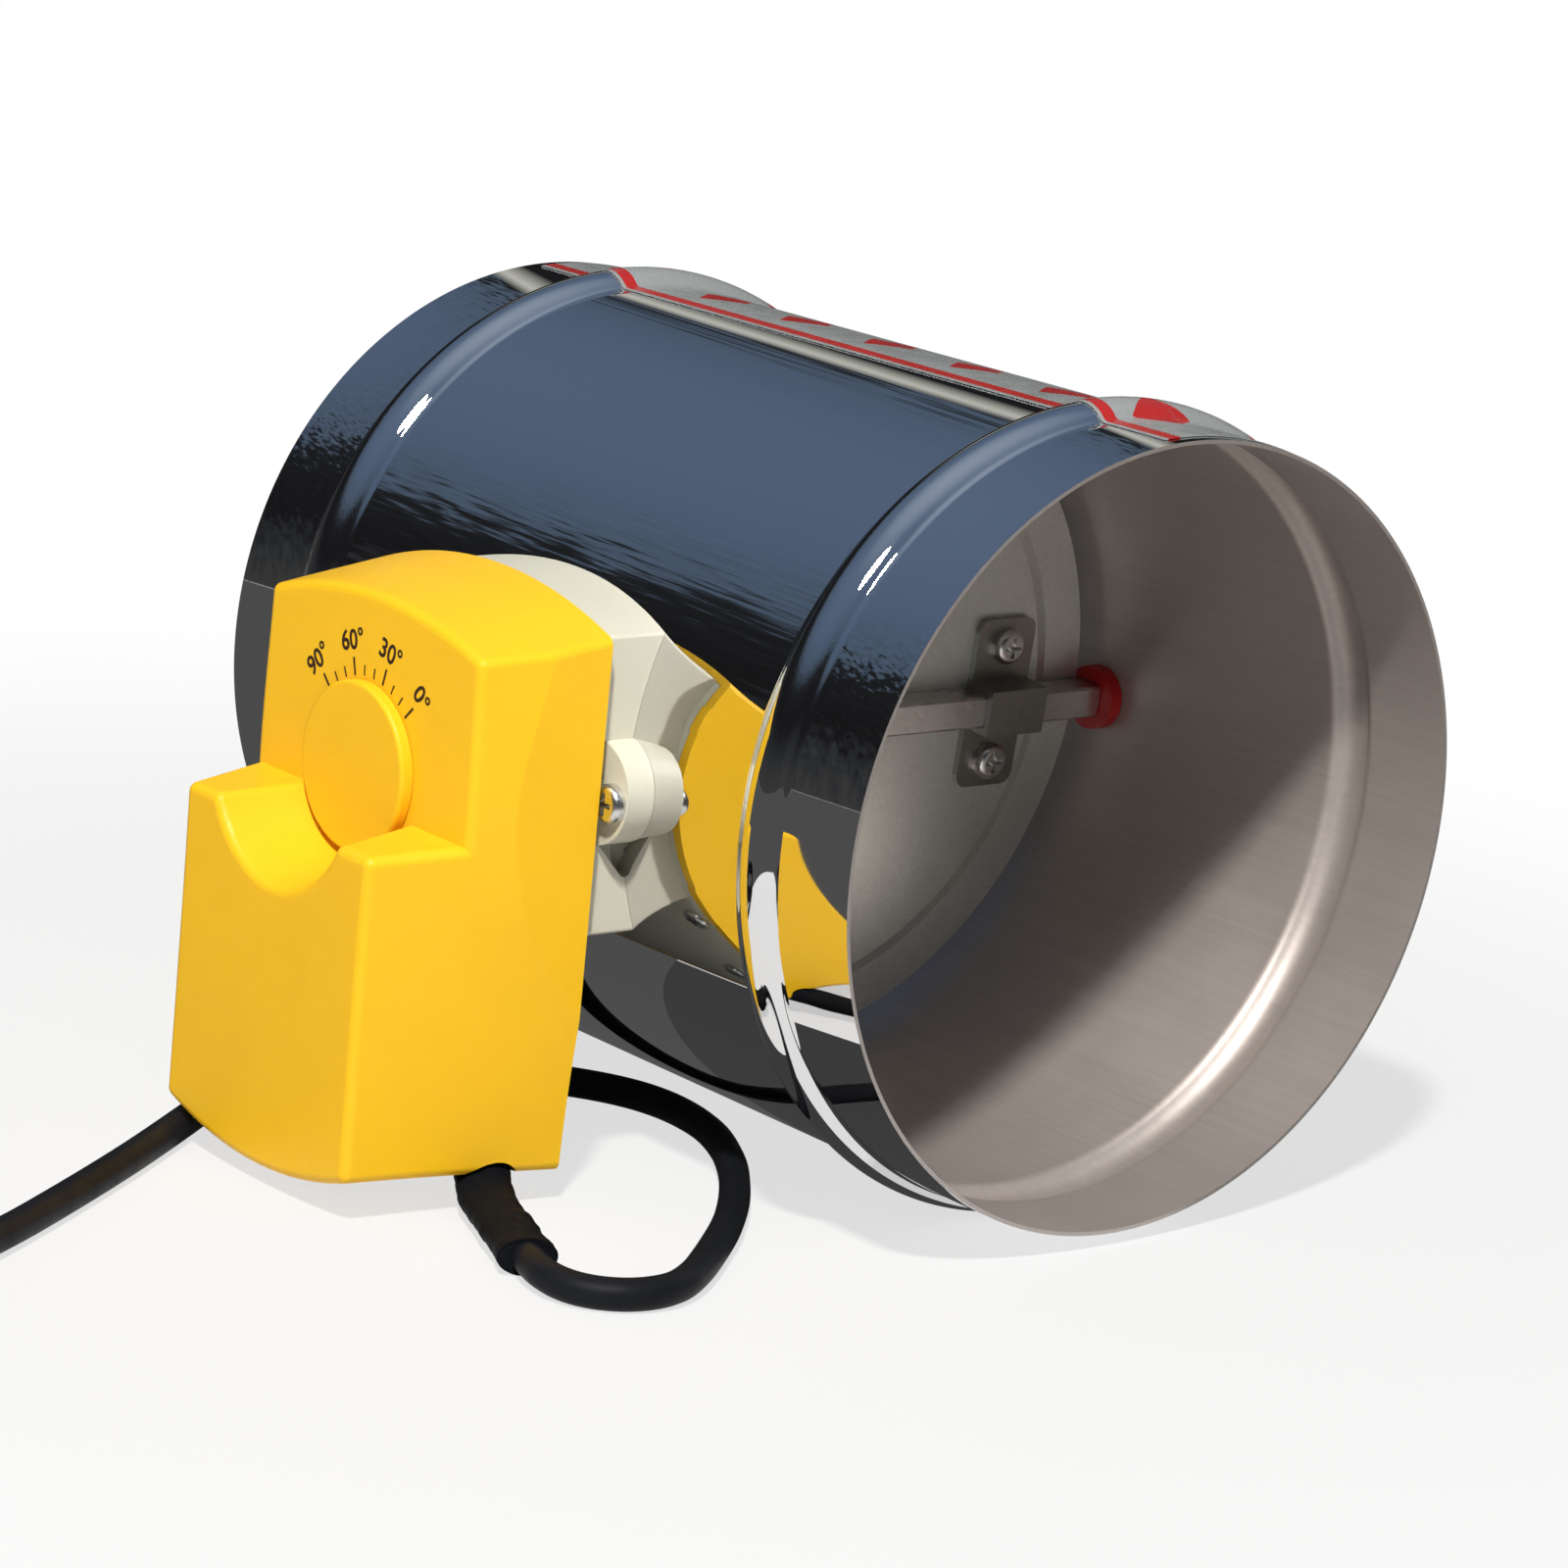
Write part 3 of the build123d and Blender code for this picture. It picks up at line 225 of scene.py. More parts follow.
polished_sheet = metal("polished_sheet", (0.76, 0.76, 0.765), 0.012, 0.02, 0.0, 0.03, 0.0)
# Inside of the duct: a satin finish, with a base darker and browner than the outer sheet as painted shade for
# the shaded inside
satin_sheet_with_painted_shade = metal("satin_sheet_with_painted_shade", (0.49, 0.44, 0.41), 0.44, 0.12, 0.4, metallic=0.62)
blade_steel = metal("blade_steel", (0.74, 0.76, 0.72), 0.36, 0.12, 0.3, metallic=0.8)
strap_steel = metal("strap_steel", (0.34, 0.335, 0.31), 0.3, 0.12, 0.3)
bar_steel = metal("bar_steel", (0.60, 0.59, 0.58), 0.25, 0.1, 0.3)
zinc = metal("zinc_plate", (0.72, 0.72, 0.70), 0.22, 0.12, 0.1)
brass = metal("turned_brass", (0.75, 0.55, 0.24), 0.25, 0.1, 0.2)
copper = metal("bare_copper", (0.80, 0.42, 0.25), 0.3, 0.1, 0.2)
yellow_shell = plastic("yellow_shell", (0.90, 0.52, 0.014), 0.42, 0.03, shine=0.22)
ivory_shell = plastic("ivory_shell", (0.61, 0.60, 0.495), 0.5, 0.03)
red_bush = plastic("red_bush", (0.42, 0.004, 0.006), 0.35, 0.08)
black_case = plastic("black_case", (0.022, 0.022, 0.023), 0.45, 0.15)
cable_sheath = plastic("cable_sheath", (0.008, 0.009, 0.012), 0.5, 0.2, 900.0, 0.25, shine=0.1)
sleeve_tape = plastic("sleeve_tape", (0.006, 0.007, 0.009), 0.6, 0.2, 700.0, 0.3, shine=0.03)
board_green = plastic("board_green", (0.02, 0.16, 0.06), 0.35, 0.2, 500.0, 0.3)
scale_ink = plastic("scale_ink", (0.035, 0.012, 0.004), 0.6, 0.2)
core_brown = plastic("core_brown", (0.16, 0.06, 0.02), 0.4, 0.1)
core_blue = plastic("core_blue", (0.02, 0.06, 0.30), 0.4, 0.1)
core_black = plastic("core_black", (0.02, 0.02, 0.02), 0.4, 0.1)

SLOT_FINISH = {
    "polished_steel": polished_sheet, "red_plastic": red_bush, "brushed_steel": blade_steel,
    "zinc_screws": zinc, "ivory_plastic": ivory_shell, "yellow_plastic": yellow_shell,
    "black_plastic": black_case, "brass_gear": brass, "green_board": board_green,
    "black_rubber": cable_sheath, "core_plastic": core_brown,
}


def wear(obj, *materials):
    obj.data.materials.clear()
    for material in materials:
        obj.data.materials.append(material)


for piece in frame["record"]["subparts"]:
    if piece["material_slot"] in SLOT_FINISH:
        wear(nodes[piece["node"]], SLOT_FINISH[piece["material_slot"]])
wear(nodes["shaft"], bar_steel)
wear(nodes["near_strap"], strap_steel)
wear(nodes["far_strap"], strap_steel)


# Modelling helpers

def alone(obj=None):
    """Deselects everything, then selects and activates one object."""
    if bpy.context.mode != "OBJECT":
        bpy.ops.object.mode_set(mode="OBJECT")
    bpy.ops.object.select_all(action="DESELECT")
    if obj:
        obj.select_set(True)
        bpy.context.view_layer.objects.active = obj
    return obj


def named(name):
    obj = bpy.context.object
    obj.name = name
    obj.data.name = name
    return obj


def settle(obj):
    """Puts an object's place into its mesh."""
    alone(obj)
    bpy.ops.object.transform_apply(location=True, rotation=True, scale=True)
    return obj


def apply_all(obj):
    alone(obj)
    for modifier in list(obj.modifiers):
        bpy.ops.object.modifier_apply(modifier=modifier.name)
    return obj


def smooth(obj, degrees=35.0):
    alone(obj)
    bpy.ops.object.shade_smooth_by_angle(angle=math.radians(degrees))
    return obj


def profile_wire(name, stations):
    """A wire in the XZ plane, drawn from station to station by extruding one point."""
    alone()
    first = stations[0]
    bpy.ops.mesh.primitive_plane_add(size=0.001, location=(first[0] * MM, 0, first[1] * MM))
    obj = named(name)
    settle(obj)
    bpy.ops.object.mode_set(mode="EDIT")
    bpy.ops.mesh.select_all(action="SELECT")
    bpy.ops.mesh.merge(type="CENTER")
    for (x0, r0), (x1, r1) in zip(stations, stations[1:]):
        step = ((x1 - x0) * MM, 0, (r1 - r0) * MM)
        bpy.ops.mesh.extrude_vertices_move(TRANSFORM_OT_translate={"value": step})
    return obj


def spin_about_duct(steps, angle):
    """Spins the whole wire that is open in edit mode about the duct's axis."""
    bpy.ops.mesh.select_all(action="SELECT")
    bpy.ops.mesh.spin(steps=steps, angle=angle, center=(0, 0, 0), axis=(1, 0, 0))
    bpy.ops.mesh.select_all(action="SELECT")
    bpy.ops.mesh.remove_doubles(threshold=0.000005)
    bpy.ops.mesh.normals_make_consistent(inside=False)
    bpy.ops.object.mode_set(mode="OBJECT")


# Duct shell, turned from its sheet's outline so that the polish reflects cleanly

DUCT_R = 80.0
DUCT_LENGTH = 204.0
SHEET = 0.8
BEADS = (26.5, 177.5)
BEAD_HALF = 6.5
BEAD_HEIGHT = 3.0
BEAD_FOOT_R = 2.0
SPIN_STEPS = 256
BUSH_HOLE_R = 5.2
SCREW_HOLE_R = 2.2
SCREW_HOLE_X = 27.0
SCREW_HOLE_Z = (19.0, -16.0)
CUTTER_DEPTH = 20.0


def bead_stations(bead_x, offset):
    """Points over one rolled bead, from foot to foot, at an offset from the sheet's outside."""
    reach = (BEAD_HALF**2 + BEAD_HEIGHT**2) / (2 * BEAD_HEIGHT)
    crown_r = reach - BEAD_FOOT_R
    crown_z = DUCT_R + BEAD_HEIGHT - crown_r
    lean = math.atan2(reach - BEAD_HEIGHT, BEAD_HALF)
    foot = []
    for n in range(6):
        a = -math.pi / 2 + (math.pi / 2 - lean) * n / 5
        foot.append((-BEAD_HALF + (BEAD_FOOT_R - offset) * math.cos(a),
                     DUCT_R + BEAD_FOOT_R + (BEAD_FOOT_R - offset) * math.sin(a)))
    crown = []
    for n in range(1, 16):
        a = math.pi - lean - (math.pi - 2 * lean) * n / 16
        crown.append(((crown_r + offset) * math.cos(a), crown_z + (crown_r + offset) * math.sin(a)))
    far_foot = [(-x, r) for x, r in reversed(foot)]
    return [(bead_x + x, r) for x, r in foot + crown + far_foot]


def sheet_stations(offset, start, end):
    line = [(start, DUCT_R + offset)]
    for bead_x in BEADS:
        line += bead_stations(bead_x, offset)
    return line + [(end, DUCT_R + offset)]


outline = sheet_stations(0, 0, DUCT_LENGTH) + list(reversed(sheet_stations(-SHEET, 0, DUCT_LENGTH)))
shell = profile_wire("duct_sheet", outline + outline[:1])
spin_about_duct(SPIN_STEPS, 2 * math.pi)


def cut_round_hole(obj, radius, centre):
    alone()
    bpy.ops.mesh.primitive_cylinder_add(vertices=48, radius=radius * MM, depth=CUTTER_DEPTH * MM,
                                        location=row(*centre), rotation=(math.pi / 2, 0, 0))
    cutter = settle(bpy.context.object)
    hole = obj.modifiers.new("hole", "BOOLEAN")
    hole.operation = "DIFFERENCE"
    hole.object = cutter
    apply_all(obj)
    bpy.data.objects.remove(cutter)


for hole_y in (-DUCT_R, DUCT_R):
    cut_round_hole(shell, BUSH_HOLE_R, (0, hole_y, 0))
for hole_x in (-SCREW_HOLE_X, SCREW_HOLE_X):
    for hole_z in SCREW_HOLE_Z:
        cut_round_hole(shell, SCREW_HOLE_R, (hole_x, -DUCT_R, hole_z))
# Inner faces take the satin sheet, whose darker base is painted shade
wear(shell, polished_sheet, satin_sheet_with_painted_shade)
for face in shell.data.polygons:
    radial = Vector((0, face.center.y, face.center.z)).normalized()
    outer = math.hypot(face.center.y, face.center.z) > (DUCT_R - SHEET / 2) * MM
    face.material_index = 0 if face.normal.dot(radial) > 0.02 and outer else 1
smooth(shell, 30)
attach(shell, "duct")
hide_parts("duct_shell")


# Protective film along the top, with a plain printed border

FILM_LIFT = 0.1
FILM_THICK = 0.2
FILM_END_MARGIN = 3.0
FILM_SPAN_DEG = 34
FILM_FAR_DEG = 28.0
BORDER_DEG = (-4.3, 26.3)
BORDER_HALF_DEG = 1.1
LOZENGE_DEG = 5.5
LOZENGE_PITCH = 27.0
LOZENGE_HALF = 6.2
LOZENGE_SLOPE = 1.1      # millimetres along the duct for each degree round it


def make_film_material():
    material = bpy.data.materials.new("printed_film")
    material.use_nodes = True
    tree = material.node_tree
    shader = tree.nodes["Principled BSDF"]
    place = tree.nodes.new("ShaderNodeTexCoord").outputs["Object"]
    split = tree.nodes.new("ShaderNodeSeparateXYZ")
    link(tree, place, split.inputs["Vector"])
    along = split.outputs["X"]
    round_deg = math_node(tree, "MULTIPLY",
                          math_node(tree, "ARCTAN2", split.outputs["Y"], split.outputs["Z"]), 180 / math.pi)
    print_mask = None
    for line_deg in BORDER_DEG:
        off = math_node(tree, "ABSOLUTE", math_node(tree, "SUBTRACT", round_deg, line_deg))
        line = math_node(tree, "LESS_THAN", off, BORDER_HALF_DEG)
        print_mask = line if print_mask is None else math_node(tree, "MAXIMUM", print_mask, line)
    middle = math_node(tree, "ABSOLUTE", math_node(tree, "SUBTRACT", round_deg, LOZENGE_DEG))
    from_shaft = math_node(tree, "SUBTRACT", along, SHAFT_X * MM)
    step = math_node(tree, "PINGPONG", from_shaft, LOZENGE_PITCH / 2 * MM)
    lozenge = math_node(tree, "ADD", math_node(tree, "MULTIPLY", middle, LOZENGE_SLOPE * MM), step)
    inside = math_node(tree, "LESS_THAN", lozenge, LOZENGE_HALF * MM)
    print_mask = math_node(tree, "MAXIMUM", print_mask, inside)
    worn = noise_node(tree, place, 220.0, 4.0, 0.6)
    print_mask = math_node(tree, "MULTIPLY", print_mask, spread(tree, worn, 0.25, 0.4, 0.75, 1.0))
    mix = tree.nodes.new("ShaderNodeMix")
    mix.data_type = "RGBA"
    mix.inputs["A"].default_value = (0.29, 0.31, 0.31, 1)
    mix.inputs["B"].default_value = (0.42, 0.018, 0.014, 1)
    link(tree, print_mask, mix.inputs["Factor"])
    link(tree, mix.outputs["Result"], shader.inputs["Base Color"])
    link(tree, spread(tree, worn, 0.3, 0.7, 0.16, 0.34), shader.inputs["Roughness"])
    bump = tree.nodes.new("ShaderNodeBump")
    bump.inputs["Strength"].default_value = 0.2
    bump.inputs["Distance"].default_value = 0.0002
    link(tree, noise_node(tree, place, 60.0, 3.0), bump.inputs["Height"])
    link(tree, bump.outputs["Normal"], shader.inputs["Normal"])
    return material


film_line = sheet_stations(FILM_LIFT, FILM_END_MARGIN, DUCT_LENGTH - FILM_END_MARGIN)
film = profile_wire("film_sheet", film_line)
spin_about_duct(FILM_SPAN_DEG, math.radians(FILM_SPAN_DEG))
film_low = math.degrees(max(math.atan2(v.co.y, v.co.z) for v in film.data.vertices))
film.rotation_euler = (math.radians(film_low - FILM_FAR_DEG), 0, 0)
settle(film)
wall = film.modifiers.new("thickness", "SOLIDIFY")
wall.thickness = FILM_THICK * MM
wall.offset = 1.0
apply_all(film)
wear(film, make_film_material())
smooth(film, 30)
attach(film, "duct")
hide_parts("film_strip")


# Cable: one smooth line out of the sleeve, along the floor and into its coil

CABLE_R = 3.2
CABLE_Z = FLOOR_Z + CABLE_R
SLEEVE_WIDE, SLEEVE_THICK = 6.0, 3.8
SLEEVE_Z = FLOOR_Z + SLEEVE_THICK
SLEEVE_START = (20.0, -98.5, -68.0)
SLEEVE_END = (67.0, -120.0, SLEEVE_Z)
SLEEVE_NOSE = (75.3, -123.48, SLEEVE_Z)
CABLE_ROUTE = (
    (84.5, -121.5), (91.0, -114.5), (92.0, -105.0), (87.5, -96.0), (78.0, -84.0), (66.0, -70.0),
    (51.0, -56.0), (34.0, -43.5), (15.0, -34.5), (-5.0, -33.5), (-22.0, -43.0), (-35.0, -59.5),
    (-43.5, -80.0), (-45.5, -101.0), (-39.5, -120.0), (-27.5, -137.0), (-13.5, -157.5), (1.0, -180.5),
    (14.5, -203.0),
)
COIL_CENTRE = (-7.036, -243.295)
COIL_ENTRY_DEG = 28.61
COIL_LIFT = 1.2
COIL_LAYER = 6.1
COIL_LOW_Z = FLOOR_Z + COIL_LIFT + CABLE_R
COIL_TOP_Z = COIL_LOW_Z + COIL_LAYER
OUTER_LANE, INNER_LANE, TOP_LANE = 38.35, 31.7, 35.0
INWARD_DEG = (295, 365)
UPWARD_DEG = (590, 690)
OUTWARD_DEG = (640, 730)
COIL_END_DEG = 970.0
COIL_STEP_DEG = 15.0
CORE_R = 0.9
CORE_LENGTH = 20.0
CORE_SPREAD = 2.4
CORE_BARE = 2.5


def ease(value, start, end):
    """Runs smoothly from zero at the start to one at the end."""
    share = min(max((value - start) / (end - start), 0.0), 1.0)
    return share * share * (3 - 2 * share)


def coil_point(turned_deg):
    """A point of the coil, by how far the cable has turned since it came in."""
    radius = OUTER_LANE + (INNER_LANE - OUTER_LANE) * ease(turned_deg, *INWARD_DEG)
    radius += (TOP_LANE - INNER_LANE) * ease(turned_deg, *OUTWARD_DEG)
    z = COIL_LOW_Z + (COIL_TOP_Z - COIL_LOW_Z) * ease(turned_deg, *UPWARD_DEG)
    a = math.radians(COIL_ENTRY_DEG - turned_deg)
    grow = 1 / math.cos(math.radians(COIL_STEP_DEG / 2)) ** 0.75
    return (COIL_CENTRE[0] + grow * radius * math.cos(a), COIL_CENTRE[1] + grow * radius * math.sin(a), z)


def add_line(name, points, radius, round_steps=4):
    """A round cord along a smooth spline whose control points are given in millimetres."""
    data = bpy.data.curves.new(name, "CURVE")
    data.dimensions = "3D"
    spline = data.splines.new("NURBS")
    spline.points.add(len(points) - 1)
    for knot, point in zip(spline.points, points):
        knot.co = (*row(*point), 1.0)
    spline.order_u = 3
    spline.use_endpoint_u = True
    spline.resolution_u = 8
    data.bevel_depth = radius * MM
    data.bevel_resolution = round_steps
    data.use_fill_caps = True
    obj = bpy.data.objects.new(name, data)
    scene.collection.objects.link(obj)
    return obj


cable_points = [SLEEVE_END, SLEEVE_NOSE] + [(x, y, CABLE_Z) for x, y in CABLE_ROUTE]
coil_count = int(COIL_END_DEG / COIL_STEP_DEG)
cable_points += [coil_point(n * COIL_END_DEG / coil_count) for n in range(coil_count + 1)]
cable = add_line("supply_cable", cable_points, CABLE_R, 6)
wear(cable, cable_sheath)
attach(cable, "duct")
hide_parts("cable_tube", "cable_coil")


def core_line(spread_mm):
    """Points of one core, from the sheath's end down onto the coil and out along its tangent."""
    end_deg = COIL_ENTRY_DEG - COIL_END_DEG
    a = math.radians(end_deg)
    outward, onward = Vector((math.cos(a), math.sin(a), 0)), Vector((math.sin(a), -math.cos(a), 0))
    start = Vector((COIL_CENTRE[0], COIL_CENTRE[1], 0)) + outward * TOP_LANE
    points = []
    for share in (0.0, 0.25, 0.55, 1.0):
        place = start + onward * (CORE_LENGTH * share) + outward * (spread_mm * (0.35 + 0.65 * share))
        drop = (COIL_TOP_Z - COIL_LOW_Z - CABLE_R - CORE_R - 0.1) * ease(share, 0.0, 0.6)
        points.append((place.x, place.y, COIL_TOP_Z - drop))
    return points


for side, name, material in ((-1, "core_one", core_brown), (0, "core_two", core_blue),
                             (1, "core_three", core_black)):
    line = core_line(side * CORE_SPREAD)
    core = add_line(name, line, CORE_R)
    wear(core, material)
    before, last = Vector(line[-2]), Vector(line[-1])
    bare_end = last + (last - before).normalized() * CORE_BARE
    tip = add_line(name + "_tip", [last, bare_end], 0.5 * CORE_R, 2)
    wear(tip, copper)
    for piece in (core, tip):
        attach(piece, "duct")
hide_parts("core_wires")


# Taped sleeve, flattened where it leaves the cover and wrinkled by its windings

SLEEVE_LINE = (
    (SLEEVE_START, 0.97), ((24.0, -100.6, -70.9), 1.0), ((29.0, -103.3, -75.6), 0.96),
    ((36.5, -107.2, SLEEVE_Z), 1.0), ((44.5, -110.6, SLEEVE_Z), 0.95), ((52.0, -113.7, SLEEVE_Z), 1.0),
    ((59.5, -116.9, SLEEVE_Z), 0.93), ((64.0, -118.7, SLEEVE_Z), 1.02), (SLEEVE_END, 1.0),
)


def push_surface(obj, name, kind, size, height, settings=None):
    """Pushes a surface in and out by one of Blender's own solid textures."""
    texture = bpy.data.textures.new(name, kind)
    texture.noise_scale = size
    for label, value in (settings or {}).items():
        setattr(texture, label, value)
    push = obj.modifiers.new(name, "DISPLACE")
    push.texture = texture
    push.texture_coords = "LOCAL"
    push.strength = height
    push.mid_level = 0.8


def make_sleeve():
    alone()
    bpy.ops.curve.primitive_nurbs_circle_add(radius=1.0)
    oval = bpy.context.object
    oval.scale = (SLEEVE_WIDE * MM, SLEEVE_THICK * MM, 1)
    bpy.ops.object.transform_apply(scale=True)
    oval.data.resolution_u = 12
    data = bpy.data.curves.new("taped_sleeve", "CURVE")
    data.dimensions = "3D"
    data.twist_mode = "Z_UP"
    spline = data.splines.new("NURBS")
    spline.points.add(len(SLEEVE_LINE) - 1)
    for knot, (point, radius) in zip(spline.points, SLEEVE_LINE):
        knot.co = (*row(*point), 1.0)
        knot.radius = radius
    spline.order_u = 3
    spline.use_endpoint_u = True
    spline.resolution_u = 14
    data.bevel_mode = "OBJECT"
    data.bevel_object = oval
    data.use_fill_caps = True
    sleeve = bpy.data.objects.new("taped_sleeve", data)
    scene.collection.objects.link(sleeve)
    alone(sleeve)
    bpy.ops.object.convert(target="MESH")
    bpy.data.objects.remove(oval)
    sleeve = named("taped_sleeve")
    push_surface(sleeve, "tape_windings", "WOOD", 0.02, 0.0007,
                 {"wood_type": "BANDNOISE", "turbulence": 3.0})
    push_surface(sleeve, "tape_wrinkles", "CLOUDS", 0.004, 0.0009)
    apply_all(sleeve)
    return smooth(sleeve, 50)


sleeve = make_sleeve()
wear(sleeve, sleeve_tape)
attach(sleeve, "duct")
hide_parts("cable_sleeve")


# Scale on the cover, printed round the knob

FACE_Y = -118.4
INK_THICK = 0.08
INK_GAP = 0.01
SCALE_START_DEG = 45.0
TICK_STEP_DEG = 10
TICK_INNER_R = 17.7
LONG_TICK = {"width": 0.5, "outer_r": 21.2}
SHORT_TICK = {"width": 0.36, "outer_r": 19.8}
LABEL_R = 21.7
LABEL_SIZE = 5.5
LABEL_BOLD = 0.1


def scale_matrix(radius, angle_deg):
    """Turns something drawn flat and upright so that it stands on the scale's ring at an angle."""
    a = math.radians(angle_deg)
    place = row(radius * math.cos(a), FACE_Y - INK_GAP, radius * math.sin(a))
    return Matrix.Translation(place) @ Matrix.Rotation(math.pi / 2 - a, 4, "Y") @ Matrix.Rotation(
        math.pi / 2, 4, "X")


def make_tick(name, width, outer_r, angle_deg):
    alone()
    bpy.ops.mesh.primitive_plane_add(size=1)
    tick = named(name)
    tick.scale = (width * MM, (outer_r - TICK_INNER_R) * MM, 1)
    settle(tick)
    bpy.ops.object.mode_set(mode="EDIT")
    bpy.ops.mesh.select_all(action="SELECT")
    bpy.ops.mesh.extrude_region_move(TRANSFORM_OT_translate={"value": (0, 0, INK_THICK * MM)})
    bpy.ops.mesh.select_all(action="SELECT")
    bpy.ops.mesh.normals_make_consistent(inside=False)
    bpy.ops.object.mode_set(mode="OBJECT")
    tick.matrix_world = scale_matrix((TICK_INNER_R + outer_r) / 2, angle_deg)
    return settle(tick)


ticks = []
for n in range(10):
    mark = LONG_TICK if n % 3 == 0 else SHORT_TICK
    ticks.append(make_tick("scale_tick", **mark, angle_deg=SCALE_START_DEG + TICK_STEP_DEG * n))
alone(ticks[0])
for tick in ticks[1:]:
    tick.select_set(True)
bpy.ops.object.join()
scale_ticks = named("scale_ticks")
wear(scale_ticks, scale_ink)
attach(scale_ticks, "duct")

for value in (0, 30, 60, 90):
    alone()
    bpy.ops.object.text_add()
    label = named(f"scale_{value}")
    label.data.body = f"{value}°"
    label.data.size = LABEL_SIZE * MM
    label.data.align_x = "CENTER"
    label.data.align_y = "BOTTOM"
    label.data.extrude = INK_THICK / 2 * MM
    label.data.offset = LABEL_BOLD * MM
    bpy.ops.object.convert(target="MESH")
    label = bpy.context.object
    label.matrix_world = scale_matrix(LABEL_R, SCALE_START_DEG + value)
    settle(label)
    wear(label, scale_ink)
    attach(label, "duct")


# Floor, light and background, in metres

FLOOR_SIZE = 8.0
FADE_CENTRE = (0.1, -0.05, FLOOR_Z * MM)
FADE_START, FADE_END = 0.18, 0.5
FADE_LEAST = 0.7
WORLD_LIGHT = (0.18, 0.185, 0.195)

alone()
bpy.ops.mesh.primitive_plane_add(size=FLOOR_SIZE, location=(0.1, 0, FLOOR_Z * MM))
floor = settle(named("studio_floor"))


def looked_at(tree):
    """One for a ray from the camera, a reflection or a clear piece, and zero for light on a surface."""
    path = tree.nodes.new("ShaderNodeLightPath")
    mirrored = math_node(tree, "MAXIMUM", path.outputs["Is Camera Ray"], path.outputs["Is Glossy Ray"])
    return math_node(tree, "MAXIMUM", mirrored, path.outputs["Is Transmission Ray"])


def make_floor_material():
    """Pale floor that keeps the object's shadow and runs out into the white background."""
    material = bpy.data.materials.new("studio_floor")
    material.use_nodes = True
    tree = material.node_tree
    shader = tree.nodes["Principled BSDF"]
    shader.inputs["Base Color"].default_value = (0.64, 0.64, 0.64, 1)
    shader.inputs["Roughness"].default_value = 0.75
    place = tree.nodes.new("ShaderNodeTexCoord").outputs["Object"]
    centre = tree.nodes.new("ShaderNodeVectorMath")
    centre.operation = "DISTANCE"
    link(tree, place, centre.inputs[0])
    centre.inputs[1].default_value = FADE_CENTRE
    far = tree.nodes.new("ShaderNodeMapRange")
    far.interpolation_type = "SMOOTHSTEP"
    far.inputs["From Min"].default_value = FADE_START
    far.inputs["From Max"].default_value = FADE_END
    far.inputs["To Min"].default_value = FADE_LEAST
    link(tree, centre.outputs["Value"], far.inputs["Value"])
    white = tree.nodes.new("ShaderNodeEmission")
    seen = tree.nodes.new("ShaderNodeMixShader")
    link(tree, math_node(tree, "MULTIPLY", far.outputs["Result"], looked_at(tree)), seen.inputs["Fac"])
    link(tree, shader.outputs["BSDF"], seen.inputs[1])
    link(tree, white.outputs["Emission"], seen.inputs[2])
    link(tree, seen.outputs["Shader"], tree.nodes["Material Output"].inputs["Surface"])
    return material


wear(floor, make_floor_material())


def make_studio_world():
    """White behind the object and in what it mirrors, and soft even light on it."""
    world = bpy.data.worlds.new("studio")
    world.use_nodes = True
    tree = world.node_tree
    seen = tree.nodes.new("ShaderNodeMix")
    seen.data_type = "RGBA"
    seen.inputs["A"].default_value = (*WORLD_LIGHT, 1)
    seen.inputs["B"].default_value = (1, 1, 1, 1)
    link(tree, looked_at(tree), seen.inputs["Factor"])
    link(tree, seen.outputs["Result"], tree.nodes["Background"].inputs["Color"])
    return world


scene.world = make_studio_world()


# Glowing cards that show in reflections only, as painted reflections: a dim sky over a ragged dark band, grey
# ground, and a dark card that is painted shadow under the duct

SKY_R = 5.0
GROUND_R = (0.16, 4.9)
GROUND_CENTRE = (0.24, -0.13)
GROUND_GREY = 0.09
# The dark card is painted shadow: the duct's lower side mirrors it in place of the floor's shade under the
# duct
SHADOW_CARD_SIZE = (0.24, 0.16)
SHADOW_CARD_CENTRE = (0.06, -0.01)
SHADOW_CARD_GREY = 0.055
CARD_LIFT = 0.2          # millimetres over the floor
HAZE_COLOUR = (0.64, 0.64, 0.57)
SKY_STOPS = (
    (0.0, (0.05, 0.05, 0.05)), (0.12, (0.03, 0.032, 0.035)), (0.24, (0.010, 0.010, 0.011)),
    (0.43, (0.016, 0.017, 0.019)), (0.46, (0.075, 0.105, 0.150)), (0.60, (0.095, 0.138, 0.220)),
    (0.80, (0.12, 0.17, 0.26)), (1.0, (0.30, 0.36, 0.46)),
)


def reflection_card(card, material):
    """Shows a card to reflections only."""
    wear(card, material)
    card.visible_camera = False
    card.visible_diffuse = False
    card.visible_transmission = False
    card.visible_shadow = False


def glowing_material(name):
    """A new material with only an emission shader, which is given back too."""
    material = bpy.data.materials.new(name)
    material.use_nodes = True
    tree = material.node_tree
    tree.nodes.remove(tree.nodes["Principled BSDF"])
    glow = tree.nodes.new("ShaderNodeEmission")
    link(tree, glow.outputs["Emission"], tree.nodes["Material Output"].inputs["Surface"])
    return material, glow


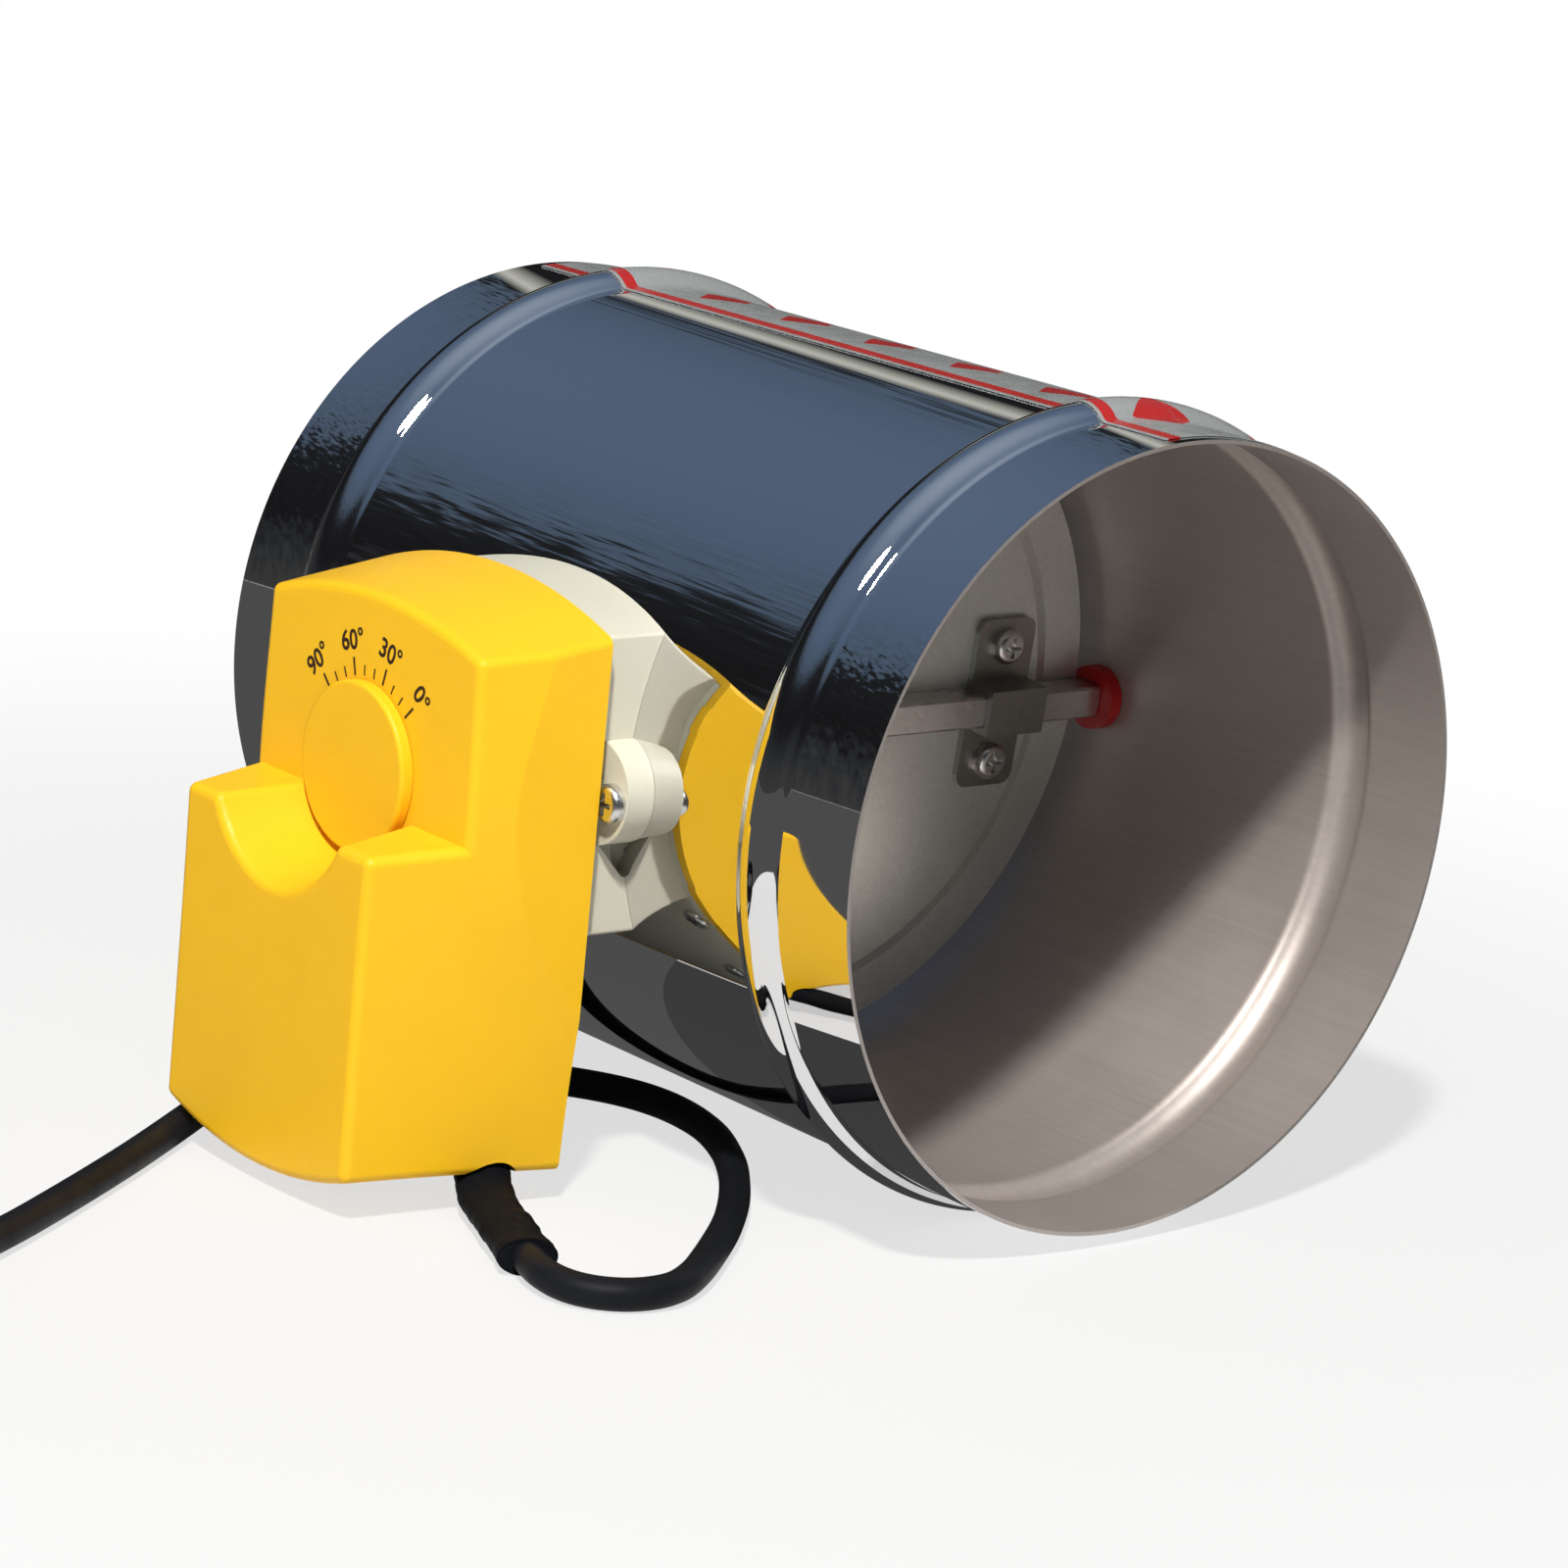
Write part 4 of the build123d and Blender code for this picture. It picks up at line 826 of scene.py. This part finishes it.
def make_sky_material():
    """Painted reflection of a sky by height, over a ragged dark band, with a pale haze low on the far side."""
    material, glow = glowing_material("sky_card")
    tree = material.node_tree
    aim = tree.nodes.new("ShaderNodeVectorMath")
    aim.operation = "NORMALIZE"
    link(tree, tree.nodes.new("ShaderNodeTexCoord").outputs["Object"], aim.inputs[0])
    place = aim.outputs["Vector"]
    split = tree.nodes.new("ShaderNodeSeparateXYZ")
    link(tree, place, split.inputs["Vector"])
    stretched = tree.nodes.new("ShaderNodeMapping")
    stretched.inputs["Scale"].default_value = (190.0, 120.0, 10.0)
    link(tree, place, stretched.inputs["Vector"])
    ragged = spread(tree, noise_node(tree, stretched.outputs["Vector"], 1.0, 5.0, 0.68), 0.3, 0.7, -0.10, 0.10)
    ragged = math_node(tree, "MULTIPLY", ragged, spread(tree, split.outputs["Z"], 0.5, 0.62, 1.0, 0.0))
    height = math_node(tree, "ADD", split.outputs["Z"], ragged)
    ramp = tree.nodes.new("ShaderNodeValToRGB")
    link(tree, height, ramp.inputs["Fac"])
    while len(ramp.color_ramp.elements) < len(SKY_STOPS):
        ramp.color_ramp.elements.new(0.5)
    for element, (position, colour) in zip(ramp.color_ramp.elements, SKY_STOPS):
        element.position = position
        element.color = (*colour, 1)
    low_sky = spread(tree, split.outputs["Z"], 0.32, 0.40, 0.0, 1.0)
    low_sky = math_node(tree, "MULTIPLY", low_sky, spread(tree, split.outputs["Z"], 0.39, 0.425, 1.0, 0.0))
    low_sky = math_node(tree, "MULTIPLY", low_sky, spread(tree, split.outputs["Y"], 0.3, 0.45, 0.0, 1.0))
    hazy = tree.nodes.new("ShaderNodeMix")
    hazy.data_type = "RGBA"
    link(tree, low_sky, hazy.inputs["Factor"])
    link(tree, ramp.outputs["Color"], hazy.inputs["A"])
    hazy.inputs["B"].default_value = (*HAZE_COLOUR, 1)
    link(tree, hazy.outputs["Result"], glow.inputs["Color"])
    return material


def make_grey_material(name, grey):
    material, glow = glowing_material(name)
    glow.inputs["Color"].default_value = (grey, grey, grey, 1)
    return material


alone()
bpy.ops.mesh.primitive_uv_sphere_add(segments=64, ring_count=32, radius=SKY_R)
sky_card = named("sky_card")
bpy.ops.object.mode_set(mode="EDIT")
bpy.ops.mesh.select_all(action="SELECT")
bpy.ops.mesh.bisect(plane_co=(0, 0, FLOOR_Z * MM), plane_no=(0, 0, 1), clear_inner=True)
bpy.ops.object.mode_set(mode="OBJECT")
reflection_card(sky_card, make_sky_material())

# Painted shadow under the duct, seen only in reflections
alone()
bpy.ops.mesh.primitive_plane_add(size=1, location=(*SHADOW_CARD_CENTRE, (FLOOR_Z + CARD_LIFT) * MM))
painted_shadow_card = named("painted_shadow_card")
painted_shadow_card.scale = (*SHADOW_CARD_SIZE, 1)
settle(painted_shadow_card)
reflection_card(painted_shadow_card, make_grey_material("painted_shadow_card", SHADOW_CARD_GREY))

alone()
bpy.ops.mesh.primitive_cone_add(vertices=96, radius1=GROUND_R[1], radius2=GROUND_R[0],
                                depth=CARD_LIFT / 2 * MM, end_fill_type="NOTHING",
                                location=(*GROUND_CENTRE, (FLOOR_Z + 1.5 * CARD_LIFT) * MM))
ground_card = settle(named("ground_card"))
reflection_card(ground_card, make_grey_material("ground_card", GROUND_GREY))


# A small lamp lights the surfaces, and a wider one at its place makes only the highlights

KEY_PLACE, KEY_TARGET = (1.06, -1.07, 1.72), (0.2, 0.0, 0.0)
KEY_POWER = 63.0
KEY_SIZE, SHEEN_SIZE = 0.16, 0.45
KEY_COLOUR = (1.0, 0.97, 0.93)


def add_lamp(name, size):
    """One disc lamp at the key's place, aimed at the object."""
    data = bpy.data.lights.new(name, "AREA")
    data.shape = "DISK"
    data.size = size
    data.energy = KEY_POWER
    data.color = KEY_COLOUR
    lamp = bpy.data.objects.new(name, data)
    scene.collection.objects.link(lamp)
    lamp.location = KEY_PLACE
    lamp.rotation_euler = (Vector(KEY_TARGET) - Vector(KEY_PLACE)).to_track_quat("-Z", "Y").to_euler()
    return lamp


add_lamp("key_lamp", KEY_SIZE).visible_glossy = False
add_lamp("sheen_lamp", SHEEN_SIZE).visible_diffuse = False
